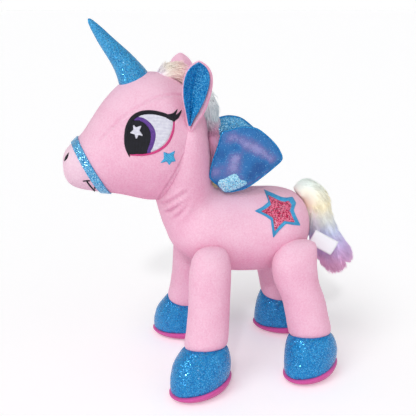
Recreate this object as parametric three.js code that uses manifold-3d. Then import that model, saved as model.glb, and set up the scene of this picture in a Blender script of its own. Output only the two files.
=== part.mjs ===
// Plush unicorn: sewn pile-fabric skins over fibre filling, with limbs that bend at their seams.
// Millimetres, +Z up. The unicorn faces -Y and its left side is +X. The floor is z = 0.
import * as THREE from 'three';
import { mergeVertices } from 'three/addons/utils/BufferGeometryUtils.js';
import Module from 'manifold-3d';

const wasm = await Module();
wasm.setup();

// ---------------------------------------------------------------- driving dimensions
const skinThickness = 1.5;      // pile fabric with its backing
const seamGap = 0.3;            // between two pieces that are sewn together
const jointGap = 1;             // between pieces that move past each other
const patchThickness = 0.8;     // embroidery and appliques

const torsoLength = 153;
const torsoWidth = 94;
const torsoHeight = 88;
const bellyGussetWidth = 34;

const legRadius = 20.5;         // round top of a leg, about its pivot
const legPivotHeight = 120;
const frontLegSpread = 54;      // pivot to centre plane
const rearLegSpread = 51;
const rearLegLean = 19;         // how far a rear hoof stands behind its pivot
const hoofLength = 62;
const hoofWidth = 50;
const hoofHeight = 46;
const soleThickness = 3;

const neckRadius = 26;
const neckBallRadius = 32;
const neckLength = 64;          // neck pivot to head pivot
const neckLean = 9;             // degrees, forward

const headLength = 137;
const headWidth = 96;
const headHeight = 123;
const eyeWidth = 42;
const eyeHeight = 37;
const nosebandWidth = 7;
const nosebandLean = 25;        // degrees, top forward
const nosebandThickness = 1.2;

const hornLength = 60;
const hornRadius = 13;
const hornLean = 34;            // degrees, forward
const hornTipRadius = 1.8;

const earLength = 54;
const earWidth = 25;
const earLayer = 2.4;
const earLean = 20;             // degrees, outward
const earRootRadius = 4.5;

const wingHeight = 62;
const wingWidth = 60;
const wingLayer = 2.6;
const wingLean = 12;            // degrees, outward
const wingSpacing = 36;         // between the two wing roots
const featherThickness = 1.8;

const tailDrop = 98;
const tailReach = 46;
const tailWidth = 40;

const starRadius = 24;          // hip applique
const starBorder = 3.5;
const cheekStarRadius = 6.5;
const labelWidth = 16;
const labelLength = 17;
const labelThickness = 0.8;

// degrees of travel of the joints that run inside sockets
const legSwing = [-25, 12];     // away from the other pair of legs, then towards it
const neckNod = [-6, 15];       // back, forward
const earFold = [-20, 25];      // inward, outward
const hornTilt = 12;            // forward and back

// ---------------------------------------------------------------- places that follow from them
const rad = THREE.MathUtils.degToRad;
const v2 = (x, y) => new THREE.Vector2(x, y);
const v3 = (x, y, z) => new THREE.Vector3(x, y, z);
const X = v3(1, 0, 0);
const Y = v3(0, 1, 0);
const Z = v3(0, 0, 1);

const torsoFront = -54;
const torsoBack = torsoFront + torsoLength;
const torsoTop = legPivotHeight + 0.72 * torsoHeight;
const torsoBottom = torsoTop - torsoHeight;
const frontLegY = torsoFront + 35;
const rearLegY = torsoBack - 35;

const neckPivot = v3(0, torsoFront + 0.88 * neckBallRadius, torsoTop - neckBallRadius + 1);
const neckAxis = v3(0, -Math.sin(rad(neckLean)), Math.cos(rad(neckLean)));
const headPivot = neckPivot.clone().addScaledVector(neckAxis, neckLength);
const headBottom = headPivot.z - headHeight / 3;
const headFront = headPivot.y - 0.81 * headLength;

// ---------------------------------------------------------------- solids
// A closed mesh with its shared vertices merged, as a solid that can be joined and cut.
function solid(geometry) {
  geometry.deleteAttribute('normal');
  geometry.deleteAttribute('uv');
  const merged = mergeVertices(geometry, 1e-4);
  return new wasm.Manifold(new wasm.Mesh({
    numProp: 3,
    vertProperties: new Float32Array(merged.attributes.position.array),
    triVerts: new Uint32Array(merged.index.array),
  }));
}

function geometryOf(body) {
  const mesh = body.getMesh();
  const geometry = new THREE.BufferGeometry();
  geometry.setAttribute('position', new THREE.BufferAttribute(mesh.vertProperties, 3));
  geometry.setIndex(new THREE.BufferAttribute(mesh.triVerts, 1));
  return geometry;
}

// The same surface moved along its normals: outward for a positive distance, inward otherwise.
function offset(geometry, distance) {
  const moved = geometry.clone();
  moved.deleteAttribute('normal');
  moved.deleteAttribute('uv');
  const merged = mergeVertices(moved, 1e-4);
  merged.computeVertexNormals();
  const { position, normal } = merged.attributes;
  for (let i = 0; i < position.count; i += 1) {
    position.setXYZ(
      i,
      position.getX(i) + distance * normal.getX(i),
      position.getY(i) + distance * normal.getY(i),
      position.getZ(i) + distance * normal.getZ(i),
    );
  }
  merged.deleteAttribute('normal');
  return merged;
}

// A skin of the given thickness, and the filling that it encloses.
const innerSurface = (surface) => solid(offset(surface, -skinThickness));
const filling = (surface) => solid(offset(surface, -skinThickness - seamGap));

// A closed surface through rings of points, with a fan at each end.
function loft(rings) {
  const sides = rings[0].length;
  const points = rings.flat();
  const faces = [];
  for (let r = 0; r + 1 < rings.length; r += 1) {
    for (let s = 0; s < sides; s += 1) {
      const a = r * sides + s;
      const b = r * sides + (s + 1) % sides;
      faces.push(a, b, b + sides, a, b + sides, a + sides);
    }
  }
  const last = (rings.length - 1) * sides;
  const start = points.push(middle(rings[0])) - 1;
  const end = points.push(middle(rings[rings.length - 1])) - 1;
  for (let s = 0; s < sides; s += 1) {
    faces.push(start, (s + 1) % sides, s);
    faces.push(end, last + s, last + (s + 1) % sides);
  }
  const geometry = new THREE.BufferGeometry();
  geometry.setAttribute('position', new THREE.Float32BufferAttribute(points.flatMap((p) => p.toArray()), 3));
  geometry.setIndex(faces);
  return geometry;
}

const middle = (ring) => ring.reduce((sum, p) => sum.add(p), v3(0, 0, 0)).divideScalar(ring.length);

// A superellipse ring about a centre, with half-axes u and v.
function ring(centre, u, v, sides, power = 2) {
  return Array.from({ length: sides }, (unused, i) => {
    const angle = (2 * Math.PI * (i + 0.5)) / sides;
    const c = Math.cos(angle);
    const s = Math.sin(angle);
    return centre.clone()
      .addScaledVector(u, Math.sign(c) * Math.abs(c) ** (2 / power))
      .addScaledVector(v, Math.sign(s) * Math.abs(s) ** (2 / power));
  });
}

// A body along +Y: each row holds a place along it, its bottom, its top and its half-width.
function bodyAlongY(rows, sides, power) {
  return loft(rows.map(([y, bottom, top, half]) => ring(
    v3(0, y, (bottom + top) / 2), v3(0, 0, (top - bottom) / 2), v3(half, 0, 0), sides, power,
  )));
}

function block(size, centre, tilt = 0) {
  const geometry = new THREE.BoxGeometry(...size);
  geometry.rotateX(tilt);
  geometry.translate(...centre);
  return solid(geometry);
}

// A flat outline in the y-z plane, given thickness along x from start.
function plate(shape, start, thickness, curveSegments = 6) {
  const geometry = new THREE.ExtrudeGeometry(shape, { depth: thickness, bevelEnabled: false, curveSegments });
  geometry.applyMatrix4(new THREE.Matrix4().makeBasis(Y, Z, X));
  geometry.translate(start, 0, 0);
  return geometry;
}

// The outline of the room that a limb of the given radius needs as it swings about the origin:
// round about the pivot, with straight sides that open with the swing. The limb points along
// heading, and angles are degrees.
function slotOutline(radius, heading, [from, to], reach) {
  const at = (angle, distance) => v2(Math.cos(rad(angle)), Math.sin(rad(angle))).multiplyScalar(distance);
  const first = heading + to + 90;
  const last = heading + from + 270;
  const steps = 9;
  const round = radius / Math.cos(rad((last - first) / steps / 2));
  const turn = (last - first) / steps;
  const points = Array.from({ length: steps + 1 }, (unused, i) => at(first + turn * i, round));
  points.push(at(heading + from, reach).add(at(heading + from - 90, round)));
  points.push(at(heading + to, reach).add(at(heading + to + 90, round)));
  return new THREE.Shape(points);
}

// The room that a ball-rooted stem needs as it leans by up to the given angle: a ball below its
// pivot and a widening cone above it, about an axis that leans forward.
function ballSocket(pivot, radius, lean, tilt, reach) {
  const round = (radius + jointGap) / Math.cos(rad(tilt));
  const profile = [v2(0, -round)];
  for (const angle of [-68, -45, -22]) {
    profile.push(v2(round * Math.cos(rad(angle)), round * Math.sin(rad(angle))));
  }
  profile.push(v2(round, 0), v2(round + reach * Math.tan(rad(tilt)), reach), v2(0, reach));
  const geometry = new THREE.LatheGeometry(profile, 18);
  geometry.rotateX(Math.PI / 2 + rad(lean));
  geometry.translate(...pivot);
  return solid(geometry);
}

// The first point where a ray meets a surface from outside.
function surfacePoint(surface, origin, direction) {
  const target = new THREE.Mesh(surface, new THREE.MeshBasicMaterial({ side: THREE.DoubleSide }));
  return new THREE.Raycaster(origin, direction.clone().normalize()).intersectObject(target)[0].point;
}

// ---------------------------------------------------------------- scene graph
const unicorn = new THREE.Group();
const pink = { color: 0xf2a3c4, roughness: 0.95, metalness: 0 };
const paleLilac = { color: 0xe9a9cf, roughness: 0.95, metalness: 0 };
const fibre = { color: 0xf4f1ec, roughness: 1, metalness: 0 };
const blueGlitter = { color: 0x2f8fc4, roughness: 0.45, metalness: 0.3 };
const paleGlitter = { color: 0x8fd0e6, roughness: 0.45, metalness: 0.2 };
const wingFoil = { color: 0x5a86cf, roughness: 0.35, metalness: 0.4 };
const magenta = { color: 0xc6489a, roughness: 0.8, metalness: 0 };
const creamFur = { color: 0xf3ead2, roughness: 1, metalness: 0 };
const thread = (color) => ({ color, roughness: 0.6, metalness: 0 });

function add(name, body, finish, parent = unicorn) {
  const geometry = body.isBufferGeometry ? body : geometryOf(body);
  const mesh = new THREE.Mesh(geometry, new THREE.MeshStandardMaterial(finish));
  mesh.name = name;
  parent.add(mesh);
  return mesh;
}

const sides = [['left', 1], ['right', -1]];
const far = 400;                 // larger than any piece, for cutting blocks

// ---------------------------------------------------------------- legs
// Each leg is a round-topped tube of fabric with a puffed hoof and a flat sole.
function legRings(x, y, footX, footY) {
  const shaft = legPivotHeight - hoofHeight;
  const dome = [78, 52, 26].map((angle) => [
    legPivotHeight + legRadius * Math.sin(rad(angle)), x, y,
    legRadius * Math.cos(rad(angle)), legRadius * Math.cos(rad(angle)),
  ]);
  const ankleX = x + 0.75 * (footX - x);
  const ankleY = y + 0.75 * (footY - y);
  const bottom = soleThickness + seamGap;
  const rows = [
    ...dome,
    [legPivotHeight, x, y, legRadius, legRadius],
    [legPivotHeight - 0.5 * shaft, (x + ankleX) / 2, (y + ankleY) / 2, legRadius, legRadius + 0.5],
    [hoofHeight, ankleX, ankleY, 0.43 * hoofWidth, 0.38 * hoofLength],
    [0.72 * hoofHeight, footX, footY, 0.47 * hoofWidth, 0.46 * hoofLength],
    [0.4 * hoofHeight, footX, footY, 0.5 * hoofWidth, 0.5 * hoofLength],
    [0.15 * hoofHeight, footX, footY, 0.49 * hoofWidth, 0.49 * hoofLength],
    [bottom, footX, footY, 0.45 * hoofWidth, 0.45 * hoofLength],
  ];
  return rows.reverse().map(([z, cx, cy, hx, hy]) => ring(v3(cx, cy, z), v3(hx, 0, 0), v3(0, hy, 0), 12, 2.1));
}

const ovalPlate = (halfX, halfY, x, y, z, height) => {
  const shape = new THREE.Shape().absellipse(0, 0, halfX, halfY, 0, 2 * Math.PI);
  const geometry = new THREE.ExtrudeGeometry(shape, { depth: height, bevelEnabled: false, curveSegments: 10 });
  geometry.translate(x, y, z);
  return solid(geometry);
};

const legSockets = [];
const legs = [
  ['front', frontLegSpread, frontLegY, frontLegSpread + 6, frontLegY - 11, legSwing],
  ['rear', rearLegSpread, rearLegY, rearLegSpread, rearLegY + rearLegLean, [-legSwing[1], -legSwing[0]]],
];
for (const [end, spread, y, footSpread, footY, swing] of legs) {
  for (const [side, sign] of sides) {
    const footX = sign * footSpread;
    const surface = loft(legRings(sign * spread, y, footX, footY));
    const shell = solid(surface.clone()).subtract(innerSurface(surface));
    const above = block([far, far, far], [0, 0, hoofHeight + (far + seamGap) / 2]);
    const below = block([far, far, far], [0, 0, hoofHeight - (far + seamGap) / 2]);
    const soleHoleX = 0.45 * hoofWidth - skinThickness;
    const soleHoleY = 0.45 * hoofLength - skinThickness;
    const soleHole = ovalPlate(soleHoleX, soleHoleY, footX, footY, 0, 3 * soleThickness);
    const name = `leg_${end}_${side}`;
    add(`${name}_stuffing`, filling(surface), fibre);
    add(`${name}_cover`, shell.intersect(above), pink);
    add(`${name}_hoof`, shell.intersect(below).subtract(soleHole), blueGlitter);
    add(`${name}_sole`, ovalPlate(0.45 * hoofWidth, 0.45 * hoofLength, footX, footY, 0, soleThickness), magenta);
    const lean = THREE.MathUtils.radToDeg(Math.atan2(footY - y, legPivotHeight));
    const outline = slotOutline(legRadius + jointGap, -90 + lean, swing, far);
    const inner = spread - legRadius - jointGap;
    const slot = plate(outline, sign > 0 ? inner : -inner - far, far);
    slot.translate(0, y, legPivotHeight);
    legSockets.push(solid(slot));
  }
}

// ---------------------------------------------------------------- neck
// A round tube about the neck's own axis, so that the head turns on it. Its lower end is a ball.
const neckProfile = [
  v2(0, -neckBallRadius),
  ...[-65, -40, -15, 10, 30].map((angle) => v2(
    neckBallRadius * Math.cos(rad(angle)), neckBallRadius * Math.sin(rad(angle)),
  )),
  v2(neckRadius, 0.45 * neckLength),
  v2(neckRadius - 1, 0.8 * neckLength),
  v2(0.93 * neckRadius, neckLength),
  v2(0.75 * neckRadius, neckLength + 0.45 * neckRadius),
  v2(0.42 * neckRadius, neckLength + 0.72 * neckRadius),
  v2(0, neckLength + 0.8 * neckRadius),
];
const neckSurface = new THREE.LatheGeometry(neckProfile, 18);
neckSurface.rotateX(Math.PI / 2 + rad(neckLean));
neckSurface.translate(...neckPivot);
const neckOpening = new THREE.CylinderGeometry(0.55 * neckRadius, 0.55 * neckRadius, far, 12);
neckOpening.rotateX(Math.PI / 2 + rad(neckLean));
neckOpening.translate(...neckPivot);
const neckShell = solid(neckSurface.clone()).subtract(innerSurface(neckSurface));
add('neck_stuffing', filling(neckSurface), fibre);
add('neck_cover', neckShell.subtract(solid(neckOpening)), pink);
const neckSocket = ballSocket(neckPivot, neckBallRadius, neckLean, Math.max(...neckNod), neckLength);

// ---------------------------------------------------------------- torso
// Two side panels and a belly gusset, closed over the filling.
const torsoAt = (f) => torsoFront + f * torsoLength;
const torsoRow = ([f, bottom, top, half]) => [
  torsoAt(f), torsoBottom + bottom * torsoHeight, torsoBottom + top * torsoHeight, half * torsoWidth / 2,
];
const torsoSurface = bodyAlongY([
  [0, 0.42, 0.7, 0.3], [0.04, 0.33, 0.84, 0.56], [0.1, 0.2, 0.93, 0.74], [0.2, 0.08, 1, 0.89],
  [0.38, 0.01, 1.01, 0.98], [0.6, 0, 1, 1], [0.8, 0.05, 0.99, 0.97], [0.9, 0.13, 0.93, 0.82],
  [0.96, 0.22, 0.84, 0.6], [1, 0.4, 0.66, 0.26],
].map(torsoRow), 20, 2.25);
const sockets = legSockets.reduce((all, socket) => all.add(socket), neckSocket);
const torsoShell = solid(torsoSurface.clone()).subtract(innerSurface(torsoSurface)).subtract(sockets);
const gussetStart = torsoAt(0.12);
const gussetEnd = torsoAt(0.94);
const gussetBlock = (spare) => block(
  [bellyGussetWidth + 2 * spare, gussetEnd - gussetStart + 2 * spare, torsoHeight],
  [0, (gussetStart + gussetEnd) / 2, torsoBottom - 0.08 * torsoHeight],
);
const halfSpace = (sign) => block([far, far, far], [sign * (far + seamGap) / 2, 0, torsoBottom]);
add('torso_stuffing', filling(torsoSurface).subtract(sockets), fibre);
add('belly_gusset', torsoShell.intersect(gussetBlock(0)), pink);
for (const [side, sign] of sides) {
  add(`torso_panel_${side}`, torsoShell.intersect(halfSpace(sign)).subtract(gussetBlock(seamGap)), pink);
}

// A five-pointed star with one tip turned to the given angle.
function star(y, z, radius, tipAngle) {
  return new THREE.Shape(Array.from({ length: 10 }, (unused, i) => {
    const angle = rad(tipAngle + 36 * i);
    const reach = i % 2 ? 0.52 * radius : radius;
    return v2(y + reach * Math.cos(angle), z + reach * Math.sin(angle));
  }));
}

// The thin layer just outside a surface, which embroidery and appliques are cut from.
const layerOver = (surface, start, thickness) => (
  solid(offset(surface, start + thickness)).subtract(solid(offset(surface, start)))
);
const sewnOn = layerOver(torsoSurface, seamGap, patchThickness);
const starY = torsoAt(0.66);
const starZ = torsoBottom + 0.82 * torsoHeight;
const starPrism = (radius) => {
  const geometry = plate(star(0, 0, radius, 118), -torsoWidth / 4, torsoWidth);
  geometry.rotateY(rad(-25));
  geometry.translate(0.4 * torsoWidth, starY, starZ);
  return solid(geometry);
};
add('hip_star', sewnOn.intersect(starPrism(starRadius - 1.6 * starBorder)), thread(0xd85c86));
add(
  'hip_star_border',
  sewnOn.intersect(starPrism(starRadius)).subtract(starPrism(starRadius - 1.6 * starBorder + 2 * seamGap)),
  thread(0x3f9bc9),
);

const label = new THREE.BoxGeometry(labelThickness, labelLength, labelWidth);
const behindRump = v3(0.3 * torsoWidth, torsoBack + far, torsoBottom + 0.36 * torsoHeight);
const rump = surfacePoint(torsoSurface, behindRump, v3(0, -1, 0));
label.rotateX(rad(-30));
label.translate(rump.x, rump.y + 0.62 * labelLength, rump.z);
add('care_label', label, { color: 0xf7f7f5, roughness: 0.5, metalness: 0 });

// ---------------------------------------------------------------- tail
// A sleeve of long fur that hangs from the top of the rump.
const tailPivot = surfacePoint(torsoSurface, v3(0, torsoAt(0.92), torsoTop + far), v3(0, 0, -1));
tailPivot.z += 2;
const tailRows = [
  [0, 0.03, 0.08, 0.16], [0.1, -0.03, 0.16, 0.3], [0.27, -0.02, 0.2, 0.5], [0.48, 0.12, 0.24, 0.68],
  [0.6, 0.32, 0.24, 0.8], [0.68, 0.52, 0.25, 0.9], [0.78, 0.72, 0.3, 1], [0.84, 0.88, 0.26, 0.86],
  [0.84, 1, 0.1, 0.4],
];
const tailSurface = loft(tailRows.map(([reach, drop, thick, wide], i) => {
  const before = tailRows[Math.max(i - 1, 0)];
  const after = tailRows[Math.min(i + 1, tailRows.length - 1)];
  const along = v3(0, (after[0] - before[0]) * tailReach, -(after[1] - before[1]) * tailDrop).normalize();
  const across = v3(0, along.z, -along.y).multiplyScalar(thick * tailReach);
  const centre = v3(0, tailPivot.y + 5 + reach * tailReach, tailPivot.z - drop * tailDrop);
  return ring(centre, v3(wide * tailWidth / 2, 0, 0), across, 12, 2);
}));
const tailSolid = solid(tailSurface.clone()).subtract(solid(offset(torsoSurface, 2 * jointGap)));
add('tail_fur', tailSolid, creamFur);

// ---------------------------------------------------------------- head
// Two cheek panels, a forehead gusset and a muzzle cover. Rows run from the nose to the nape.
const headRow = ([f, bottom, top, half]) => [
  headFront + f * headLength, headBottom + bottom * headHeight, headBottom + top * headHeight, half * headWidth / 2,
];
const headAt = (f, z) => v3(0, headFront + f * headLength, headBottom + z * headHeight);
const headSurface = bodyAlongY([
  [0, 0.22, 0.36, 0.14], [0.022, 0.18, 0.43, 0.31], [0.066, 0.13, 0.49, 0.45], [0.12, 0.095, 0.53, 0.52],
  [0.2, 0.07, 0.69, 0.61], [0.3, 0.06, 0.84, 0.75], [0.43, 0.02, 0.945, 0.9], [0.575, 0, 1, 1],
  [0.72, 0.03, 0.96, 0.98], [0.85, 0.13, 0.87, 0.83], [0.94, 0.26, 0.76, 0.58], [1, 0.42, 0.6, 0.2],
].map(headRow), 20, 2.15);
const neckSpace = solid(offset(neckSurface, jointGap));

// Horn: a slender cone on a ball that sits in the crown.
const crown = surfacePoint(headSurface, headAt(0.49, 3), v3(0, 0, -1));
const hornPivot = crown.clone().add(v3(0, 0, -2));
const hornProfile = [
  v2(0, -hornRadius),
  ...[-60, -30].map((angle) => v2(hornRadius * Math.cos(rad(angle)), hornRadius * Math.sin(rad(angle)))),
  v2(hornRadius, 0), v2(0.76 * hornRadius, 0.3 * hornLength), v2(0.45 * hornRadius, 0.65 * hornLength),
  v2(hornTipRadius, hornLength), v2(0, hornLength + hornTipRadius),
];
const placeHorn = (geometry) => {
  geometry.rotateX(Math.PI / 2 + rad(hornLean));
  geometry.translate(...hornPivot);
  return geometry;
};
const hornSurface = placeHorn(new THREE.LatheGeometry(hornProfile, 14));
const hornRoot = new THREE.CylinderGeometry(0.8 * hornRadius, 0.8 * hornRadius, 1.1 * hornRadius, 16);
hornRoot.translate(0, -0.95 * hornRadius, 0);
const hornShell = solid(hornSurface.clone()).subtract(innerSurface(hornSurface));
add('horn_stuffing', filling(hornSurface), fibre);
add('horn_cover', hornShell.subtract(solid(placeHorn(hornRoot))), blueGlitter);
const hornSocket = ballSocket(hornPivot, hornRadius, hornLean, hornTilt, 2 * hornRadius);

// Ears: two leaf-shaped layers on a round root that lies in a groove of the head.
function earOutline(shrink) {
  const half = earWidth / 2 - shrink;
  const top = earLength - shrink;
  const shape = new THREE.Shape();
  shape.moveTo(-0.3 * half, earRootRadius + jointGap + 2.5);
  shape.bezierCurveTo(-0.8 * half, 0.35 * top, -1.35 * half, 0.75 * top, 0.1 * half, top);
  shape.bezierCurveTo(1.5 * half, 0.8 * top, 1.05 * half, 0.35 * top, 0.3 * half, earRootRadius + jointGap + 2.5);
  return shape;
}
const earSockets = [];
for (const [side, sign] of sides) {
  const above = headAt(0.83, 3).add(v3(sign * 0.36 * headWidth, 0, 0));
  const place = surfacePoint(headSurface, above, v3(0, 0, -1)).add(v3(0, 0, -2));
  const frame = new THREE.Matrix4().makeTranslation(place)
    .multiply(new THREE.Matrix4().makeRotationY(sign * rad(earLean)));
  const root = new THREE.CylinderGeometry(earRootRadius, earRootRadius, 0.5 * earWidth, 12);
  const backStart = sign > 0 ? -earLayer - seamGap / 2 : seamGap / 2;
  const liningStart = sign > 0 ? seamGap / 2 : -0.75 * earLayer - seamGap / 2;
  const stem = new THREE.BoxGeometry(earLayer, 0.42 * earWidth, 2 * earRootRadius + 4);
  stem.translate(backStart + earLayer / 2, 0, earRootRadius + 2);
  const back = solid(root).add(solid(stem)).add(solid(plate(earOutline(0), backStart, earLayer)));
  const lining = solid(plate(earOutline(2.5), liningStart, 0.75 * earLayer));
  add(`ear_${side}_back`, back.transform(frame.elements), pink);
  add(`ear_${side}_lining`, lining.transform(frame.elements), blueGlitter);
  const range = sign > 0 ? earFold : [-earFold[1], -earFold[0]];
  const slot = new THREE.ExtrudeGeometry(
    slotOutline(earRootRadius + jointGap, 0, range, 3 * earRootRadius),
    { depth: 0.5 * earWidth + 2 * jointGap, bevelEnabled: false },
  );
  slot.translate(0, 0, -0.25 * earWidth - jointGap);
  slot.applyMatrix4(new THREE.Matrix4().makeBasis(Z, X, Y)).applyMatrix4(frame);
  earSockets.push(solid(slot));
}

const headSockets = earSockets.reduce((all, socket) => all.add(socket), hornSocket).add(neckSpace);
const headShell = solid(headSurface.clone()).subtract(innerSurface(headSurface)).subtract(headSockets);

// The noseband runs around the muzzle in a plane that leans forward at its top.
const bandCentre = headAt(0.2, 0.28);
const bandTilt = rad(nosebandLean);
const ahead = (shift) => block(
  [far, far, far],
  [0, bandCentre.y - (far / 2 + shift) * Math.cos(bandTilt), bandCentre.z - (far / 2 + shift) * Math.sin(bandTilt)],
  bandTilt,
);
const behind = block(
  [far, far, far],
  [0, bandCentre.y + (far / 2) * Math.cos(bandTilt), bandCentre.z + (far / 2) * Math.sin(bandTilt)],
  bandTilt,
);
const bandSlab = block([far, nosebandWidth, far], bandCentre.toArray(), bandTilt);
const gussetWidth = 0.6 * headWidth;
const gussetShape = (spare) => {
  const shape = new THREE.Shape();
  shape.moveTo(-0.2 * gussetWidth - spare, headAt(-0.1, 0).y);
  shape.lineTo(0.2 * gussetWidth + spare, headAt(-0.1, 0).y);
  shape.quadraticCurveTo(0.75 * gussetWidth + spare, headAt(0.5, 0).y, 0.22 * gussetWidth + spare, headAt(1.1, 0).y);
  shape.lineTo(-0.22 * gussetWidth - spare, headAt(1.1, 0).y);
  const backCorner = -0.2 * gussetWidth - spare;
  shape.quadraticCurveTo(-0.75 * gussetWidth - spare, headAt(0.5, 0).y, backCorner, headAt(-0.1, 0).y);
  const geometry = new THREE.ExtrudeGeometry(shape, { depth: far, bevelEnabled: false, curveSegments: 8 });
  geometry.translate(0, 0, headAt(0, 0.5).z - spare);
  return solid(geometry);
};
const face = headShell.intersect(behind);
add('head_stuffing', filling(headSurface).subtract(headSockets), fibre);
add('head_gusset', face.intersect(gussetShape(0)), pink);
add('muzzle_cover', headShell.intersect(ahead(seamGap)), paleLilac);
for (const [side, sign] of sides) {
  add(`head_panel_${side}`, face.intersect(halfSpace(sign)).subtract(gussetShape(seamGap)), pink);
}
add('noseband', layerOver(headSurface, seamGap, nosebandThickness).intersect(bandSlab), blueGlitter);

// Embroidery on each cheek: a lid over the white of the eye, an iris with a pupil, and a star.
const ellipse = (y, z, halfY, halfZ) => new THREE.Shape().absellipse(y, z, halfY, halfZ, 0, 2 * Math.PI);
const faceLayer = layerOver(headSurface, seamGap, patchThickness);
const eye = headAt(0.555, 0.585);
const prism = (shape, sign) => {
  const start = sign > 0 ? 0.1 * headWidth : -0.75 * headWidth;
  return solid(plate(shape, start, 0.65 * headWidth, 8));
};
for (const [side, sign] of sides) {
  const whole = prism(ellipse(eye.y, eye.z, eyeWidth / 2, eyeHeight / 2), sign);
  const opening = (grow) => prism(ellipse(
    eye.y + 0.02 * eyeWidth, eye.z - 0.1 * eyeHeight, 0.44 * eyeWidth + grow, 0.39 * eyeHeight + grow,
  ), sign);
  const irisShape = (grow) => prism(ellipse(
    eye.y - 0.2 * eyeWidth, eye.z - 0.09 * eyeHeight, 0.28 * eyeWidth + grow, 0.345 * eyeHeight + grow,
  ), sign);
  const pupilShape = (grow) => prism(ellipse(
    eye.y - 0.25 * eyeWidth, eye.z - 0.09 * eyeHeight, 0.18 * eyeWidth + grow, 0.27 * eyeHeight + grow,
  ), sign);
  const insideLid = faceLayer.intersect(opening(0));
  add(`eye_${side}_lid`, faceLayer.intersect(whole).subtract(opening(seamGap)), thread(0x17151c));
  add(`eye_${side}_white`, insideLid.subtract(irisShape(seamGap)), thread(0xf6f5f3));
  add(`eye_${side}_iris`, insideLid.intersect(irisShape(0)).subtract(pupilShape(seamGap)), thread(0x6a4a9c));
  add(`eye_${side}_pupil`, insideLid.intersect(pupilShape(0)), thread(0x121016));
  const cheek = star(eye.y + 0.38 * eyeWidth, eye.z - 0.6 * eyeHeight, cheekStarRadius, 100);
  add(`cheek_star_${side}`, faceLayer.intersect(prism(cheek, sign)), thread(0x5fb2dc));
  const nostrilPlace = headAt(0.04, 0.41);
  const nostril = prism(ellipse(nostrilPlace.y, nostrilPlace.z, 1.4, 3), sign);
  add(`nostril_${side}`, faceLayer.intersect(nostril), thread(0x2a2026));
}

// ---------------------------------------------------------------- mane
// Tufts of long fur on the crown, the nape and the back of the neck.
function tuft(points, halves, widths, keepClear) {
  const rings = points.map((point, i) => {
    const before = points[Math.max(i - 1, 0)];
    const after = points[Math.min(i + 1, points.length - 1)];
    const along = after.clone().sub(before).normalize();
    const across = v3(0, along.z, -along.y).multiplyScalar(halves[i]);
    return ring(point, v3(widths[i], 0, 0), across, 10, 2);
  });
  return solid(loft(rings)).subtract(keepClear);
}
const overHead = solid(offset(headSurface, seamGap)).add(hornSocket);
const forelock = [headAt(0.62, 0.99), headAt(0.68, 1.01), headAt(0.77, 1), headAt(0.86, 0.93)];
add('mane_forelock', tuft(forelock, [2, 5, 6, 3], [4, 11, 12, 6], overHead), creamFur);
const crest = [headAt(0.9, 0.87), headAt(0.96, 0.82), headAt(1, 0.74), headAt(1.02, 0.66)];
add('mane_crest', tuft(crest, [2, 6, 6, 3], [4, 9, 9, 5], overHead.add(neckSpace)), creamFur);
const neckBack = (t, out) => (
  neckPivot.clone().addScaledVector(neckAxis, t * neckLength).add(v3(0, neckRadius + out, 0))
);
const headSweep = solid(offset(headSurface, 4));
const neckMane = [neckBack(0.98, 1), neckBack(0.85, 3), neckBack(0.68, 4), neckBack(0.56, 2)];
const overNeck = solid(offset(neckSurface, seamGap));
add('mane_neck', tuft(neckMane, [2, 6, 6, 2], [3, 8, 8, 4], overNeck.add(headSweep)), creamFur);

// ---------------------------------------------------------------- wings
// Two flat panels sewn back to back, with a small feather over the root of the outer one.
function wingOutline(shrink) {
  const w = wingWidth / 2 - shrink;
  const h = wingHeight - 2 * shrink;
  const shape = new THREE.Shape();
  shape.moveTo(-0.12 * w, shrink);
  shape.bezierCurveTo(-0.5 * w, 0.02 * h + shrink, -0.78 * w, 0.1 * h, -0.72 * w, 0.36 * h);
  shape.bezierCurveTo(-0.6 * w, 0.72 * h, -0.35 * w, h, 0.12 * w, h + shrink);
  shape.bezierCurveTo(0.6 * w, h + shrink, 1.1 * w, 0.7 * h, 1.28 * w, 0.48 * h);
  shape.bezierCurveTo(0.9 * w, 0.22 * h, 0.6 * w, shrink, -0.12 * w, shrink);
  return shape;
}
function featherOutline() {
  const w = wingWidth / 2;
  const shape = new THREE.Shape();
  shape.moveTo(-0.35 * w, 0.05 * wingHeight);
  shape.quadraticCurveTo(-0.55 * w, 0.3 * wingHeight, -0.1 * w, 0.31 * wingHeight);
  shape.quadraticCurveTo(0.2 * w, 0.31 * wingHeight, 0.38 * w, 0.13 * wingHeight);
  shape.quadraticCurveTo(0.1 * w, 0.02 * wingHeight, -0.35 * w, 0.05 * wingHeight);
  return shape;
}
const wingY = torsoAt(0.455);
for (const [side, sign] of sides) {
  const above = v3(sign * wingSpacing / 2, wingY, torsoTop + far);
  const wing = new THREE.Group();
  wing.position.copy(surfacePoint(torsoSurface, above, v3(0, 0, -1))).add(v3(0, 0, 3 * jointGap));
  wing.rotation.y = sign * rad(wingLean);
  const outward = (start, thickness) => (sign > 0 ? start : -start - thickness);
  const outer = plate(wingOutline(0), outward(seamGap / 2, wingLayer), wingLayer);
  add(`wing_${side}_outer`, outer, wingFoil, wing);
  const inner = plate(wingOutline(0.5), outward(-seamGap / 2 - wingLayer, wingLayer), wingLayer);
  add(`wing_${side}_inner`, inner, paleGlitter, wing);
  const featherStart = 1.5 * seamGap + wingLayer;
  const feather = plate(featherOutline(), outward(featherStart, featherThickness), featherThickness);
  add(`wing_${side}_feather`, feather, blueGlitter, wing);
  unicorn.add(wing);
}

// The origin is under the middle of the whole unicorn.
const bounds = new THREE.Box3().setFromObject(unicorn);
unicorn.position.y = -(bounds.min.y + bounds.max.y) / 2;

export default unicorn;
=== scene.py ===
# Plush unicorn: sewn pile skins over fibre filling, with glitter hooves, horn, ears and wings,
# an embroidered face and a long-pile mane and tail. Metres; it faces -Y and its left side is +X.
import math

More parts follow.
